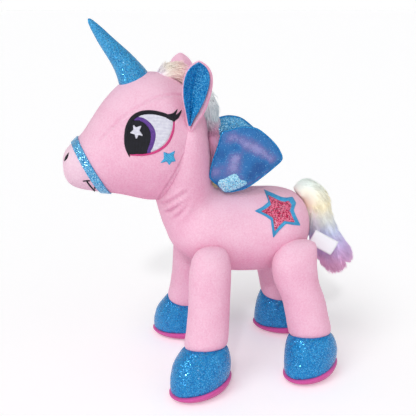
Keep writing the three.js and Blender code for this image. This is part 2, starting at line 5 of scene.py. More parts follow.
import bmesh
import bpy
import numpy as np
from mathutils import Matrix, Vector, kdtree
from mathutils.bvhtree import BVHTree


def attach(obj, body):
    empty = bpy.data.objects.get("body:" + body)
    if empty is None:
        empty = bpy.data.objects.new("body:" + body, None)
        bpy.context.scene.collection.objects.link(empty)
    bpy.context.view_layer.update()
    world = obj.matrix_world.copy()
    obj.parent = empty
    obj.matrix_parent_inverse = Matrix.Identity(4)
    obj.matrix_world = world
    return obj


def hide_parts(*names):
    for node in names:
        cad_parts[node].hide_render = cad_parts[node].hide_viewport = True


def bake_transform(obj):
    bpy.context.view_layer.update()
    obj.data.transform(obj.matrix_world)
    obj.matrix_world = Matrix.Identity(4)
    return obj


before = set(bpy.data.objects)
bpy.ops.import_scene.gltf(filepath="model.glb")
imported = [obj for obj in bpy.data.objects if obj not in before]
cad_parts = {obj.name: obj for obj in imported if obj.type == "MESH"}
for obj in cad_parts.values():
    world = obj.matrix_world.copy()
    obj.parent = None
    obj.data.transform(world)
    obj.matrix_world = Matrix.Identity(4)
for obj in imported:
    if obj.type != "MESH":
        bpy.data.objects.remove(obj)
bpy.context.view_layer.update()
mm = 0.001
scene = bpy.context.scene

# ---- Camera, floor and studio light ------------------------------------------------------
# A white sweep lit from above and in front, as for a catalogue picture. The camera stands at
# the unicorn's left, a little ahead of it, and looks down on it by 17 degrees.
camera_place = Vector((597, -127, 349)) * mm
camera_heading = math.radians(79)
camera_drop = math.radians(17)
forward = Vector((
    -math.sin(camera_heading) * math.cos(camera_drop),
    math.cos(camera_heading) * math.cos(camera_drop),
    -math.sin(camera_drop),
))


def linked(name, data):
    """A new object in the scene."""
    obj = bpy.data.objects.new(name, data)
    scene.collection.objects.link(obj)
    return obj


camera = linked("camera", bpy.data.cameras.new("camera"))
camera.data.lens = 56.6
camera.location = camera_place
camera.rotation_euler = forward.to_track_quat("-Z", "Y").to_euler()
scene.camera = camera


def linear(code):
    """An sRGB hex colour as linear RGBA."""
    parts = [int(code[i:i + 2], 16) / 255 for i in (1, 3, 5)]
    return (*[c / 12.92 if c <= 0.04045 else ((c + 0.055) / 1.055) ** 2.4 for c in parts], 1.0)


def add(material, kind, inputs=None, **settings):
    """Adds a shader node, with its settings, and its inputs as values or as sockets to link."""
    node = material.node_tree.nodes.new(kind)
    for key, value in settings.items():
        setattr(node, key, value)
    for socket, value in (inputs or {}).items():
        if isinstance(value, bpy.types.NodeSocket):
            material.node_tree.links.new(value, node.inputs[socket])
        else:
            node.inputs[socket].default_value = value
    return node


def finish(name, inputs):
    """A material whose main shader has these inputs."""
    material = bpy.data.materials.new(name)
    material.use_nodes = True
    shader = material.node_tree.nodes["Principled BSDF"]
    for socket, value in inputs.items():
        shader.inputs[socket].default_value = value
    return material, shader


def plug(material, shader, **sockets):
    """Links outputs to the shader's sockets, whose names have _ for a space."""
    for socket, output in sockets.items():
        material.node_tree.links.new(output, shader.inputs[socket.replace("_", " ")])


def soft_sun(name, place, strength, spread):
    """A large soft lamp, far enough off to light the whole sweep evenly."""
    light = bpy.data.lights.new(name, "SUN")
    light.energy = strength
    light.angle = math.radians(spread)
    obj = linked(name, light)
    obj.location = place
    obj.rotation_euler = (-Vector(place)).to_track_quat("-Z", "Y").to_euler()


soft_sun("key", (1.3, -1.5, 2.6), 1.02, 32)
soft_sun("fill", (1.6, 1.2, 1.2), 0.15, 60)
soft_sun("lamp", (1.5, -0.55, 1.15), 0.66, 5)
# the room is white near the horizon and dimmer overhead
world = bpy.data.worlds.new("studio")
world.use_nodes = True
sky = add(world, "ShaderNodeSeparateXYZ", {0: add(world, "ShaderNodeTexCoord").outputs["Generated"]})
dim = add(world, "ShaderNodeMapRange", {"Value": sky.outputs["Z"], "From Min": 0.16, "From Max": 0.42,
                                        "To Min": 1.0, "To Max": 0.36})
world.node_tree.links.new(dim.outputs[0], world.node_tree.nodes["Background"].inputs["Strength"])
world.node_tree.nodes["Background"].inputs["Color"].default_value = (1, 1, 1, 1)
scene.world = world
scene.view_settings.view_transform = "Standard"

floor_bm = bmesh.new()
bmesh.ops.create_grid(floor_bm, x_segments=2, y_segments=2, size=120)
floor_mesh = bpy.data.meshes.new("floor")
floor_bm.to_mesh(floor_mesh)
floor_bm.free()
floor = linked("floor", floor_mesh)
# matt white paper: no gloss, with a faint glow that keeps it evenly white
paper, paper_shader = finish("matt_paper", {
    "Roughness": 0.95, "Base Color": linear("#FBFBFC"),
    "Emission Color": linear("#FFFFFF"), "Emission Strength": 0.2,
})
floor.data.materials.append(paper)

# ---- Body skin: torso and neck -----------------------------------------------------------
# Two side panels and a belly gusset of pink short-pile velour, seamed along the back, the
# chest and the belly, and stuffed firmly with fibre. The neck is cut in one with the sides.
ring_sides = 40
skin_voxel = 3 * mm


def through(rows, steps, closed=False):
    """Rows of numbers filled in along a smooth curve that passes through them all."""
    rows = np.array(rows, float)
    before, after = (rows[-1:], rows[:2]) if closed else (rows[:1], rows[-1:])
    rows = np.vstack([before, rows, after])
    found = []
    for a, b, c, d in zip(rows, rows[1:], rows[2:], rows[3:]):
        for t in np.arange(steps) / steps:
            bend = (2 * a - 5 * b + 4 * c - d) + t * (3 * (b - c) + d - a)
            found.append(b + 0.5 * t * ((c - a) + t * bend))
    return np.array(found if closed else found + [rows[-1]])


def loft(bm, places, sides=ring_sides):
    """A closed skin through rings. Each place turns an angle's cosine and sine into a point."""
    loops = []
    for place in places:
        ring = bmesh.ops.create_circle(bm, segments=sides, radius=1)["verts"]
        for v in ring:
            v.co = place(v.co.x, v.co.y)
        loops.append(list({e for v in ring for e in v.link_edges}))
    for a, b in zip(loops, loops[1:]):
        bmesh.ops.bridge_loops(bm, edges=a + b)
    for end in (loops[0], loops[-1]):
        bmesh.ops.edgeloop_fill(bm, edges=end)
    bmesh.ops.recalc_face_normals(bm, faces=bm.faces)


def along_body(rows):
    """Rings across the body. A row has y, bottom, top, half-width and the widest height."""
    def placed(y, low, high, half, wide):
        return lambda c, s: Vector((half * c, y, wide + s * (high - wide if s > 0 else wide - low))) * mm
    return [placed(*row) for row in rows]


def upright(rows):
    """Level rings. A row has z, the centre's x and y, and the half-widths along x and y. It may
    end with a tilt, the rise of the ring towards the outer side."""
    def placed(z, cx, cy, hx, hy, tilt=0.0):
        return lambda c, s: Vector((cx + hx * c, cy + hy * s, z + tilt * hx * c)) * mm
    return [placed(*row) for row in rows]


def made(name, bm, material=None):
    """An object from a bmesh, with smooth faces."""
    mesh = bpy.data.meshes.new(name)
    bm.to_mesh(mesh)
    bm.free()
    mesh.shade_smooth()
    if material:
        mesh.materials.append(material)
    return linked(name, mesh)


def baked(obj):
    """The object with its modifiers applied."""
    graph = bpy.context.evaluated_depsgraph_get()
    mesh = bpy.data.meshes.new_from_object(obj.evaluated_get(graph), depsgraph=graph)
    obj.modifiers.clear()
    obj.data = mesh
    mesh.shade_smooth()
    return obj


def modified(obj, kind, **settings):
    """Adds one modifier and applies it."""
    modifier = obj.modifiers.new(kind.lower(), kind)
    for key, value in settings.items():
        setattr(modifier, key, value)
    return baked(obj)


def points(mesh):
    co = np.empty(len(mesh.vertices) * 3, np.float32)
    mesh.vertices.foreach_get("co", co)
    return co.reshape(-1, 3).astype(float)


def normals(mesh):
    n = np.empty(len(mesh.vertices) * 3, np.float32)
    mesh.vertex_normals.foreach_get("vector", n)
    return n.reshape(-1, 3).astype(float)


def set_points(mesh, co):
    mesh.vertices.foreach_set("co", co.astype(np.float32).ravel())
    mesh.update()


def near(co, line):
    """Each point's distance to a line of points, and how far along the line it is."""
    line = np.asarray(line)
    run = np.concatenate([[0], np.cumsum(np.linalg.norm(np.diff(line, axis=0), axis=1))])
    tree = kdtree.KDTree(len(line))
    for i, p in enumerate(line):
        tree.insert(p, i)
    tree.balance()
    found = [tree.find(p) for p in co]
    return np.array([f[2] for f in found]), np.array([run[f[1]] for f in found]), run[-1]


def stuff(obj, swell, seams=(), pressure=4.0, cap=3.0 * mm, hold=None):
    """Fills a sewn skin. It starts a little small and swells, but its seams hold it in."""
    co = points(obj.data)
    start = co - normals(obj.data) * swell
    set_points(obj.data, start)
    held = np.zeros(len(co))
    for line in seams:
        distance, _, _ = near(co, line)
        held = np.maximum(held, np.clip(1.3 - distance / (4 * mm), 0, 1))
    if hold is not None:
        held = np.maximum(held, hold(co))
    group = obj.vertex_groups.new(name="held")
    for i in np.nonzero(held > 0.02)[0]:
        group.add([int(i)], float(min(held[i], 1)), "REPLACE")
    cloth = obj.modifiers.new("cloth", "CLOTH")
    cloth.settings.quality = 4
    cloth.settings.mass = 0.25
    cloth.settings.tension_stiffness = 12
    cloth.settings.compression_stiffness = 12
    cloth.settings.bending_stiffness = 0.4
    cloth.settings.use_pressure = True
    cloth.settings.uniform_pressure_force = pressure
    cloth.settings.effector_weights.gravity = 0
    cloth.settings.vertex_group_mass = "held"
    cloth.settings.pin_stiffness = 1.0
    cloth.collision_settings.use_collision = False
    for number in range(1, 21):
        scene.frame_set(number)
    graph = bpy.context.evaluated_depsgraph_get()
    swollen = points(obj.evaluated_get(graph).data)
    scene.frame_set(1)
    obj.modifiers.clear()
    obj.vertex_groups.clear()
    moved = swollen - start
    length = np.linalg.norm(moved, axis=1, keepdims=True)
    set_points(obj.data, start + moved * np.minimum(1, cap / np.maximum(length, 1e-9)))


def press(obj, line, width, depth, pitch=0.0, lips=0.35):
    """Draws a seam or a fold into a skin: a groove with puffed lips, dimpled at each stitch."""
    co = points(obj.data)
    low, high = line.min(0) - 5 * width, line.max(0) + 5 * width
    chosen = np.nonzero(np.all((co > low) & (co < high), axis=1))[0]
    if not len(chosen):
        return
    distance, run, whole = near(co[chosen], line)
    fade = np.clip(np.minimum(run, whole - run) / (3 * width), 0, 1) if pitch == 0 else 1.0
    stitch = 1 + 0.45 * np.cos(2 * np.pi * run / pitch) if pitch else 1.0
    groove = np.exp(-((distance / width) ** 2)) * stitch
    lip = lips * np.exp(-(((distance - 2.1 * width) / width) ** 2))
    co[chosen] += normals(obj.data)[chosen] * (depth * fade * (lip - groove))[:, None]
    set_points(obj.data, co)


def surface_of(obj):
    bm = bmesh.new()
    bm.from_mesh(obj.data)
    tree = BVHTree.FromBMesh(bm)
    bm.free()
    return tree


def drawn(tree, outline, plane, steps=6, closed=False):
    """A line on a skin. Its y and z are on an upright plane beside the toy, and it is carried
    onto the skin along the line from the camera, which stands square to that side."""
    found = []
    for y, z in through(outline, steps, closed):
        hit = tree.ray_cast(camera_place, (Vector((plane, y, z)) * mm - camera_place).normalized())[0]
        if hit:
            found.append(hit[:])
    return np.array(found)


def flipped(line):
    return line * [-1, 1, 1]


torso_rows = [
    (-53, 137, 158, 9, 147), (-49, 130, 167, 20, 147), (-43, 122, 177, 31, 146), (-34, 115, 184, 40, 144),
    (-22, 107, 187, 45, 143), (-5, 101, 186, 47, 142), (15, 98, 184, 47.5, 141), (38, 97, 183, 48, 141),
    (54, 99, 182.5, 47.5, 142), (67, 103, 180.5, 44, 144), (77, 109, 176.5, 37, 145), (85, 117, 169, 27, 146),
    (89.5, 126, 160, 17, 145), (91.5, 133, 151, 9, 142),
]
neck_rows = [
    (122, 0, -18, 24, 20), (134, 0, -20, 34, 29), (146, 0, -23.5, 37, 32), (158, 0, -27.5, 36.5, 32),
    (170, 0, -31.5, 36, 31), (184, 0, -36, 38.5, 29.5), (199, 0, -37.5, 41.5, 30), (216, 0, -36, 43.5, 28),
    (234, 0, -34.5, 43.5, 24), (250, 0, -34, 39, 20), (262, 0, -34, 29, 15), (269, 0, -34, 14, 8),
]

# Short-pile velour: soft matt polyester plush. The pile whitens at grazing angles, and lies in
# patches, laid different ways, a little lighter or deeper. Painted light and shade also make it
# paler where it faces the key light and deeper where it faces down. A tuft is 0.4 mm across and
# is drawn at 1.5 mm.
pile_tuft = 1.5 * mm
pile_patch = 17 * mm


def pile(name, light, deep, tuft=pile_tuft):
    material, shader = finish(name, {
        "Roughness": 0.8, "Specular IOR Level": 0.25, "Sheen Weight": 0.35,
        "Sheen Roughness": 0.42, "Sheen Tint": linear("#FFEFF6"),
    })
    place = add(material, "ShaderNodeTexCoord")
    patch = add(material, "ShaderNodeTexNoise",
                {"Vector": place.outputs["Object"], "Scale": 1 / pile_patch, "Detail": 4.0})
    nap = add(material, "ShaderNodeTexNoise",
              {"Vector": place.outputs["Object"], "Scale": 1 / tuft, "Detail": 3.0, "Roughness": 0.7})
    # painted light and shade: the colour is paler where the skin faces up, forward and to the left,
    # towards the key light, and deeper where it faces down
    painted_light_facing = add(material, "ShaderNodeVectorMath", {0: place.outputs["Normal"], 1: (0.5, -0.3, 0.8)},
                  operation="DOT_PRODUCT")
    both = add(material, "ShaderNodeMath", {0: patch.outputs["Fac"], 1: 0.4, 2: nap.outputs["Fac"]},
               operation="MULTIPLY_ADD")
    # lay adds the painted light and shade to the random patches and nap
    lay = add(material, "ShaderNodeMath", {0: painted_light_facing.outputs["Value"], 1: 0.5, 2: both.outputs[0]},
              operation="MULTIPLY_ADD")
    share = add(material, "ShaderNodeMapRange", {"Value": lay.outputs[0], "From Min": 0.35, "From Max": 1.25})
    colour = add(material, "ShaderNodeMix", {"Factor": share.outputs[0], 6: linear(deep), 7: linear(light)},
                 data_type="RGBA")
    bump = add(material, "ShaderNodeBump",
               {"Strength": 0.85, "Distance": 0.7 * mm, "Height": nap.outputs["Fac"]})
    plug(material, shader, Base_Color=colour.outputs[2], Normal=bump.outputs[0])
    return material


# each velour's two colours are its pale and deep tones, blended by random patches and by painted light and shade
pink_pile = pile("pink_velour", "#F0C4D8", "#DE86AE")
muzzle_pile = pile("pale_velour", "#EFD2E0", "#DCA6C2")

bm = bmesh.new()
loft(bm, along_body(through(torso_rows, 3)))
loft(bm, upright(through(neck_rows, 3)))
body = made("body_skin", bm, pink_pile)
modified(body, "REMESH", mode="VOXEL", voxel_size=skin_voxel)
modified(body, "SMOOTH", factor=0.5, iterations=14)
stuff(body, 1.6 * mm, hold=lambda co: np.clip((co[:, 2] - 0.209) / 0.02, 0, 1), pressure=3.0, cap=2.4 * mm)
modified(body, "SMOOTH", factor=0.5, iterations=2)
modified(body, "SUBSURF", levels=1, render_levels=1)

body_surface = surface_of(body)


def dropped(tree, path, steps=8, up=True):
    """A line on a skin above or below the x and y points given, in millimetres."""
    height, way = (0.6, -1) if up else (-0.2, 1)
    found = []
    for x, y in through(path, steps):
        hit = tree.ray_cast(Vector((x * mm, y * mm, height)), Vector((0, 0, way)))[0]
        if hit:
            found.append(hit[:])
    return np.array(found)


seam_pitch = 3.2 * mm
seam_width = 1.1 * mm
back_seam = dropped(body_surface, [(0, 5), (0, 40), (0, 70), (0, 95)])
press(body, back_seam, seam_width, 0.9 * mm, seam_pitch)
gusset_seam = dropped(body_surface, [(17, -46), (26, -30), (30, 0), (30, 40), (27, 70), (12, 94)], up=False)
for line in (gusset_seam, flipped(gusset_seam)):
    press(body, line, seam_width, 0.9 * mm, seam_pitch)
# creases that fan from the throat to the shoulder, where the neck leans forward
neck_folds = [
    [(-62, 180), (-50, 184), (-36, 193)], [(-57, 172), (-47, 178), (-35, 190)],
    [(-50, 166), (-42, 174), (-33, 188)],
]
for fold, deep in zip(neck_folds, (2.0, 1.8, 1.2)):
    line = drawn(body_surface, fold, 40)
    for side in (line, flipped(line)):
        press(body, side, 2.2 * mm, deep * mm, lips=0.55)
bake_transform(body)
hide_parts("torso_stuffing", "torso_panel_left", "torso_panel_right", "belly_gusset",
            "neck_stuffing", "neck_cover")
body_surface = surface_of(body)

# ---- Legs --------------------------------------------------------------------------------
# Four stuffed tubes of the pink velour with round tops, sewn flat against the body's sides,
# so each swings a little about its top. A glitter boot is seamed to the cuff, and a
# bright pink sole closes it.
front_rows = [
    (142, 48, -17, 4, 6, 0), (139.5, 48.5, -17, 9, 13, 0),
    (134, 49, -17.5, 14, 17.5, 0), (126, 49.5, -18, 17, 20, 0),
    (116, 50, -18.5, 18.5, 21, 0), (99, 51.5, -19.5, 18.6, 21, 0), (79, 53, -20.5, 19, 21, 0),
    (61, 55, -22, 19.6, 21.6, 0.06), (51, 56.3, -23.5, 20.2, 22.2, 0.18),
    (45, 57, -24.5, 19.4, 21.4, 0.22), (41, 57, -25, 15, 17, 0.22),
]
rear_rows = [
    (142, 46, 70, 4, 6, 0), (139.5, 46, 69, 9, 15, 0),
    (134, 46.5, 66.5, 13, 20, 0), (126, 47, 64, 16, 22.5, 0),
    (116, 47.5, 63, 17.6, 23.6, 0), (99, 48, 66, 18, 23.2, 0),
    (82, 49, 73, 18.5, 22.6, 0), (64, 50, 77, 19, 22.4, 0.06),
    (51, 50.5, 80, 20, 22.8, 0.18), (45, 50.8, 80.6, 19.2, 22, 0.22), (41, 51, 81, 15, 17, 0.22),
]
front_boot_rows = [
    (47, 57, -24.6, 17, 19, 0.22), (45, 57, -24.8, 20.6, 22.6, 0.22), (41.5, 57.5, -25.6, 21.8, 24.4, 0.2),
    (33, 58.8, -27.8, 24, 28.8, 0.1), (23, 60, -29.4, 25.4, 31.2, 0), (14, 60, -29.6, 25.6, 31.4, 0),
    (9.5, 60, -29.6, 24.9, 30.7, 0), (7.5, 60, -29.6, 22.5, 28.5, 0),
]
rear_boot_rows = [
    (47, 50.6, 80.6, 17, 19.4, 0.22), (45, 50.8, 80.7, 20.4, 23, 0.22), (41.5, 51, 81.1, 21.8, 24.4, 0.2),
    (33, 51, 82, 24, 27.6, 0.1), (23, 51, 82.6, 25.2, 29.4, 0), (14, 51, 82.6, 25.4, 29.6, 0),
    (9.5, 51, 82.6, 24.8, 28.8, 0), (7.5, 51, 82.6, 22.5, 26.6, 0),
]
# height above the floor, and how far inside the boot's outline the sole's edge lies there
sole_profile = [(0.0, -12), (0.4, -9), (1.8, -5.6), (4.0, -2.8), (6.6, -1.0), (9.0, -0.2), (10.4, -1.6)]

# Glitter fabric: metallic flakes on a blue film. A flake is 0.3 mm across and is drawn at
# 0.65 mm. Each flake leans its own way, so some flash white and most stay blue.
flake = 0.65 * mm


def glitter(name, dark, middle, bright, flash="#52A9DE", size=flake, rough=0.18, lean=0.65, share=0.3,
            bloom=9 * mm):
    material, shader = finish(name, {"Roughness": rough, "Specular IOR Level": 0.25})
    place = add(material, "ShaderNodeTexCoord").outputs["Object"]
    cells = add(material, "ShaderNodeTexVoronoi", {"Vector": place, "Scale": 1 / size})
    split = add(material, "ShaderNodeSeparateColor", {"Color": cells.outputs["Color"]})
    zone = add(material, "ShaderNodeTexNoise", {"Vector": place, "Scale": 1 / bloom, "Detail": 2.0})
    mix = add(material, "ShaderNodeMath", {0: zone.outputs["Fac"], 1: 0.9, 2: split.outputs[0]},
              operation="MULTIPLY_ADD")
    ramp = add(material, "ShaderNodeValToRGB", {"Fac": mix.outputs[0]})
    ramp.color_ramp.elements[0].position = 0.3
    ramp.color_ramp.elements[0].color = linear(dark)
    ramp.color_ramp.elements[1].position = 0.85
    ramp.color_ramp.elements[1].color = linear(middle)
    ramp.color_ramp.elements.new(0.99).color = linear(bright)
    sparkle = add(material, "ShaderNodeMapRange",
                  {"Value": split.outputs[1], "From Min": 1 - share, "From Max": 1 - 0.5 * share})
    colour = add(material, "ShaderNodeMix",
                 {"Factor": sparkle.outputs[0], 6: ramp.outputs[0], 7: linear(flash)}, data_type="RGBA")
    lay = add(material, "ShaderNodeNewGeometry").outputs["Normal"]
    tilt = add(material, "ShaderNodeVectorMath", {0: cells.outputs["Color"], 1: (0.5, 0.5, 0.5)},
               operation="SUBTRACT")
    tilted = add(material, "ShaderNodeVectorMath", {0: tilt.outputs[0], 1: (lean, lean, lean), 2: lay},
                 operation="MULTIPLY_ADD")
    even = add(material, "ShaderNodeVectorMath", {0: tilted.outputs[0]}, operation="NORMALIZE")
    plug(material, shader, Base_Color=colour.outputs[2], Metallic=sparkle.outputs[0], Normal=even.outputs[0])
    return material


blue_glitter = glitter("blue_glitter_fabric", "#00589C", "#056CB0", "#1583C2")
sole_pile = pile("magenta_velour", "#D65AA4", "#BE3A86")


def mirrored(bm):
    """Turns a left piece into its right twin."""
    bmesh.ops.scale(bm, vec=(-1, 1, 1), verts=bm.verts)
    bmesh.ops.reverse_faces(bm, faces=bm.faces)


def splayed(cy, hy):
    """Turns the toe of a left boot outwards and lifts its heel, fading out at the cuff."""
    def shape(bm):
        for v in bm.verts:
            back = (v.co.y / mm - cy) / hy
            z = v.co.z / mm
            v.co.x -= 7.5 * mm * back * min(1, max(0, (45 - z) / 32))
            v.co.z += 0.42 * v.co.z * back * min(1, max(0, (30 - z) / 16))
    return shape


def padded_tube(name, rows, side, material, voxel, swell, seams=(), cap=2.0 * mm, steps=3, shape=None):
    """A stuffed tube of level rings, on the left side or mirrored to the right."""
    bm = bmesh.new()
    loft(bm, upright(through(rows, steps)))
    if shape:
        shape(bm)
    if side < 0:
        mirrored(bm)
    obj = made(name, bm, material)
    modified(obj, "REMESH", mode="VOXEL", voxel_size=voxel)
    modified(obj, "SMOOTH", factor=0.5, iterations=6)
    stuff(obj, swell, cap=cap, pressure=3.0, seams=seams)
    modified(obj, "SMOOTH", factor=0.5, iterations=1)
    modified(obj, "SUBSURF", levels=1, render_levels=1)
    return obj


for end, leg_rows, boot_rows in (("front", front_rows, front_boot_rows), ("rear", rear_rows, rear_boot_rows)):
    for side_name, side in (("left", 1), ("right", -1)):
        leg = f"leg_{end}_{side_name}"
        cover = padded_tube(leg + "_skin", leg_rows, side, pink_pile, skin_voxel, 1.2 * mm)
        # the inner seam runs down the leg, hidden from the side
        seam_rows = through(leg_rows[2:-2], 12)
        spine = np.array([((cx - 0.97 * hx) * side, cy, z) for z, cx, cy, hx, _, _ in seam_rows]) * mm
        press(cover, spine, seam_width, 0.8 * mm, seam_pitch)
        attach(cover, leg)
        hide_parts(leg + "_stuffing", leg + "_cover")

        _, cx, cy, hx, hy, _ = boot_rows[-3]
        splay = splayed(cy, hy)
        boot = padded_tube(leg + "_boot", boot_rows, side, blue_glitter, skin_voxel, 1.0 * mm,
                           cap=1.6 * mm, shape=splay)
        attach(boot, leg)
        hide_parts(leg + "_hoof")

        bm = bmesh.new()
        loft(bm, upright([(z, cx, cy, hx + inset, hy + inset) for z, inset in through(sole_profile, 3)]), 64)
        splay(bm)
        bmesh.ops.inset_region(bm, faces=[f for f in bm.faces if len(f.verts) > 4], thickness=4 * mm)
        if side < 0:
            mirrored(bm)
        sole = made(leg + "_sole_pad", bm, sole_pile)
        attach(sole, leg)
        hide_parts(leg + "_sole")

# ---- Head, muzzle and noseband -----------------------------------------------------------
# A large round head with a short blunt muzzle, in two cheek panels and a gusset that runs
# over the forehead. The muzzle is its own panel, and a glitter strap covers the seam to it.
head_rows = [
    (-147.6, 206, 216.5, 6, 211), (-146.4, 200, 223, 13, 211),
    (-143, 194, 228.5, 19.5, 211), (-136.6, 189.5, 234, 25, 212),
    (-128, 187, 241.5, 29, 213), (-118, 185, 256.5, 33, 216),
    (-107, 183.5, 271.5, 37, 220), (-94, 181, 284.5, 41.5, 224),
    (-80, 177, 293, 45.5, 228), (-66, 174, 296.5, 48, 230),
    (-52, 176, 295, 47.8, 232), (-40, 184, 289.5, 43, 234),
    (-30, 194, 281, 37, 237), (-22, 205, 271, 30, 239), (-15, 217, 260, 21, 239), (-11, 227, 249, 11, 238),
]
noseband_point = Vector((0, -133.4, 234)) * mm
noseband_lean = math.radians(28)
noseband_width = 7.4 * mm
noseband_normal = Vector((0, -math.cos(noseband_lean), -math.sin(noseband_lean)))
bm = bmesh.new()
loft(bm, along_body(through(head_rows, 3)), 48)
head = made("head_skin", bm, pink_pile)
modified(head, "REMESH", mode="VOXEL", voxel_size=skin_voxel)
modified(head, "SMOOTH", factor=0.5, iterations=10)
stuff(head, 1.6 * mm, pressure=3.0, cap=2.2 * mm)
modified(head, "SMOOTH", factor=0.5, iterations=2)
modified(head, "SUBSURF", levels=1, render_levels=1)


def edited(obj, work):
    """Runs bmesh steps on an object's mesh."""
    bm = bmesh.new()
    bm.from_mesh(obj.data)
    work(bm)
    bm.to_mesh(obj.data)
    bm.free()
    obj.data.update()
    obj.data.shade_smooth()


edited(head, lambda bm: bmesh.ops.symmetrize(
    bm, input=bm.verts[:] + bm.edges[:] + bm.faces[:], direction="X", dist=0.1 * mm))
head_surface = surface_of(head)
for outline, plane, deep in (
    ([(-112, 241), (-102, 251), (-90, 261), (-77, 268.5), (-64, 275), (-51, 277.5), (-40, 277)], 35, 1.1),
    ([(-41, 226), (-46, 216), (-52, 206), (-58, 197), (-64, 188), (-67, 182)], 45, 1.1),
):
    line = drawn(head_surface, outline, plane, 12)
    for seam in (line, flipped(line)):
        press(head, seam, seam_width, deep * mm, seam_pitch)
head_surface = surface_of(head)


def copied(name, obj, work, material=None):
    """A new object from a changed copy of another's mesh."""
    bm = bmesh.new()
    bm.from_mesh(obj.data)
    work(bm)
    return made(name, bm, material)


def cut(bm, point, normal, keep_front, close=True):
    """Cuts a mesh by a plane, keeps one side and closes it."""
    bmesh.ops.bisect_plane(bm, geom=bm.verts[:] + bm.edges[:] + bm.faces[:], dist=0.01 * mm, plane_co=point,
                           plane_no=normal, clear_outer=not keep_front, clear_inner=keep_front)
    if close:
        bmesh.ops.holes_fill(bm, edges=[e for e in bm.edges if e.is_boundary])


def strap_cut(bm):
    for way in (1, -1):
        cut(bm, noseband_point + noseband_normal * (way * 0.5 * noseband_width), noseband_normal, way < 0, False)
    for v in bm.verts:
        v.co += v.normal * 0.15 * mm


muzzle = copied("muzzle_skin", head, lambda bm: cut(bm, noseband_point, noseband_normal, True), muzzle_pile)
strap = copied("noseband_strap", head, strap_cut)
edited(head, lambda bm: cut(bm, noseband_point, noseband_normal, False))
# the strap is folded fabric 1.3 mm thick with soft edges
pale_glitter = glitter("pale_glitter_fabric", "#04609F", "#147CB8", "#4FA8D8", flash="#9AD2F0", share=0.4,
                       lean=0.8)
strap.data.materials.clear()
strap.data.materials.append(pale_glitter)
modified(strap, "SOLIDIFY", thickness=1.3 * mm, offset=1.0, use_even_offset=True)
modified(strap, "BEVEL", width=0.45 * mm, segments=2, limit_method="ANGLE")
for obj, nodes, slot in (
    (head, ("head_stuffing", "head_gusset", "head_panel_left", "head_panel_right"), "pink_pile"),
    (muzzle, ("muzzle_cover",), "lilac_pile"), (strap, ("noseband",), "pale_glitter"),
):
    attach(obj, "head")
    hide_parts(*nodes)

# ---- Embroidered eyes, cheek stars, nostrils and mouth -----------------------------------
# Thread sewn through the cheek panels: dense satin bands of black, purple, white, pink and
# blue rayon, raised about half a millimetre. The two sides of the face match.


# Satin stitch: parallel rayon threads, glossy along their length. A thread is 0.35 mm and is
# drawn at 1.25 mm, and its direction is set by the piece's own stitch map.
thread_pitch = 1.25 * mm


def satin(name, light, deep, pitch=thread_pitch, turn=0.0, gloss=0.45):
    material, shader = finish(name, {
        "Roughness": 0.45, "Specular IOR Level": gloss, "Anisotropic": 0.5,
    })
    stitch = add(material, "ShaderNodeUVMap", uv_map="stitch").outputs[0]
    turned = add(material, "ShaderNodeMapping", {"Vector": stitch, "Rotation": (0, 0, math.radians(turn))})
    # a wave texture at scale 1 has a period of 0.314 units
    threads = add(material, "ShaderNodeTexWave", {
        "Vector": turned.outputs[0], "Scale": 0.314 / pitch, "Distortion": 0.7, "Detail": 2.0,
        "Detail Scale": 1.4,
    })
    patch = add(material, "ShaderNodeTexNoise",
                {"Vector": turned.outputs[0], "Scale": 1 / (3 * mm), "Detail": 2.0})
    both = add(material, "ShaderNodeMath", {0: threads.outputs["Fac"], 1: 0.6, 2: patch.outputs["Fac"]},
               operation="MULTIPLY_ADD")
    tone = add(material, "ShaderNodeMapRange", {"Value": both.outputs[0], "From Min": 0.35, "From Max": 1.15})
    colour = add(material, "ShaderNodeMix", {"Factor": tone.outputs[0], 6: linear(deep), 7: linear(light)},
                 data_type="RGBA")
    bump = add(material, "ShaderNodeBump",
               {"Strength": 0.8, "Distance": 0.5 * mm, "Height": threads.outputs["Fac"]})
    plug(material, shader, Base_Color=colour.outputs[2], Normal=bump.outputs[0])
    return material


black_thread = satin("black_rayon", "#1C1C28", "#06060B", gloss=0.3)
white_thread = satin("white_rayon", "#EEEEF8", "#C9C7DC", turn=90)
purple_thread = satin("purple_rayon", "#7444A6", "#3C2276")
blue_thread = satin("blue_rayon", "#4DC2EC", "#0D78BB", turn=60)
pink_thread = satin("deep_pink_rayon", "#E5498F", "#C92C77")


def evenly(line, count):
    """A line's points, spaced evenly along it."""
    line = np.asarray(line)
    run = np.concatenate([[0], np.cumsum(np.linalg.norm(np.diff(line, axis=0), axis=1))])
    at = np.linspace(0, run[-1], count)
    return np.column_stack([np.interp(at, run, line[:, k]) for k in range(line.shape[1])]), run[-1]


def on_skin(tree, y, z, plane, height):
    way = (Vector((plane, y, z)) * mm - camera_place).normalized()
    hit, normal, _, _ = tree.ray_cast(camera_place, way)
    if hit is None:
        hit, normal, _, _ = tree.find_nearest(Vector((plane, y, z)) * mm)
    return hit + normal * height


def band(name, one, other, tree, plane, rise, material, across=6):
    """A satin band between two edges, domed across, with its stitches square to its run."""
    count = max(12, int(evenly(one, 2)[1] / 1.2))
    first, long = evenly(one, count + 1)
    second, _ = evenly(other, count + 1)
    bm = bmesh.new()
    stitch = bm.loops.layers.uv.new("stitch")
    bmesh.ops.create_grid(bm, x_segments=count, y_segments=across, size=0.5)
    places = {}
    for v in bm.verts:
        s, t = v.co.x + 0.5, v.co.y + 0.5
        k = int(round(s * count))
        y, z = first[k] * (1 - t) + second[k] * t
        dome = math.sqrt(max(0.0, 1 - (2 * t - 1) ** 2)) * min(1, 4 * s + 0.35, 4 * (1 - s) + 0.35)
        width = np.linalg.norm(first[k] - second[k])
        places[v] = (s * long * mm, t * width * mm)
        v.co = on_skin(tree, y, z, plane, (0.1 + rise * dome) * mm)
    for f in bm.faces:
        for corner in f.loops:
            corner[stitch].uv = places[corner.vert]
    return closed_patch(name, bm, material)


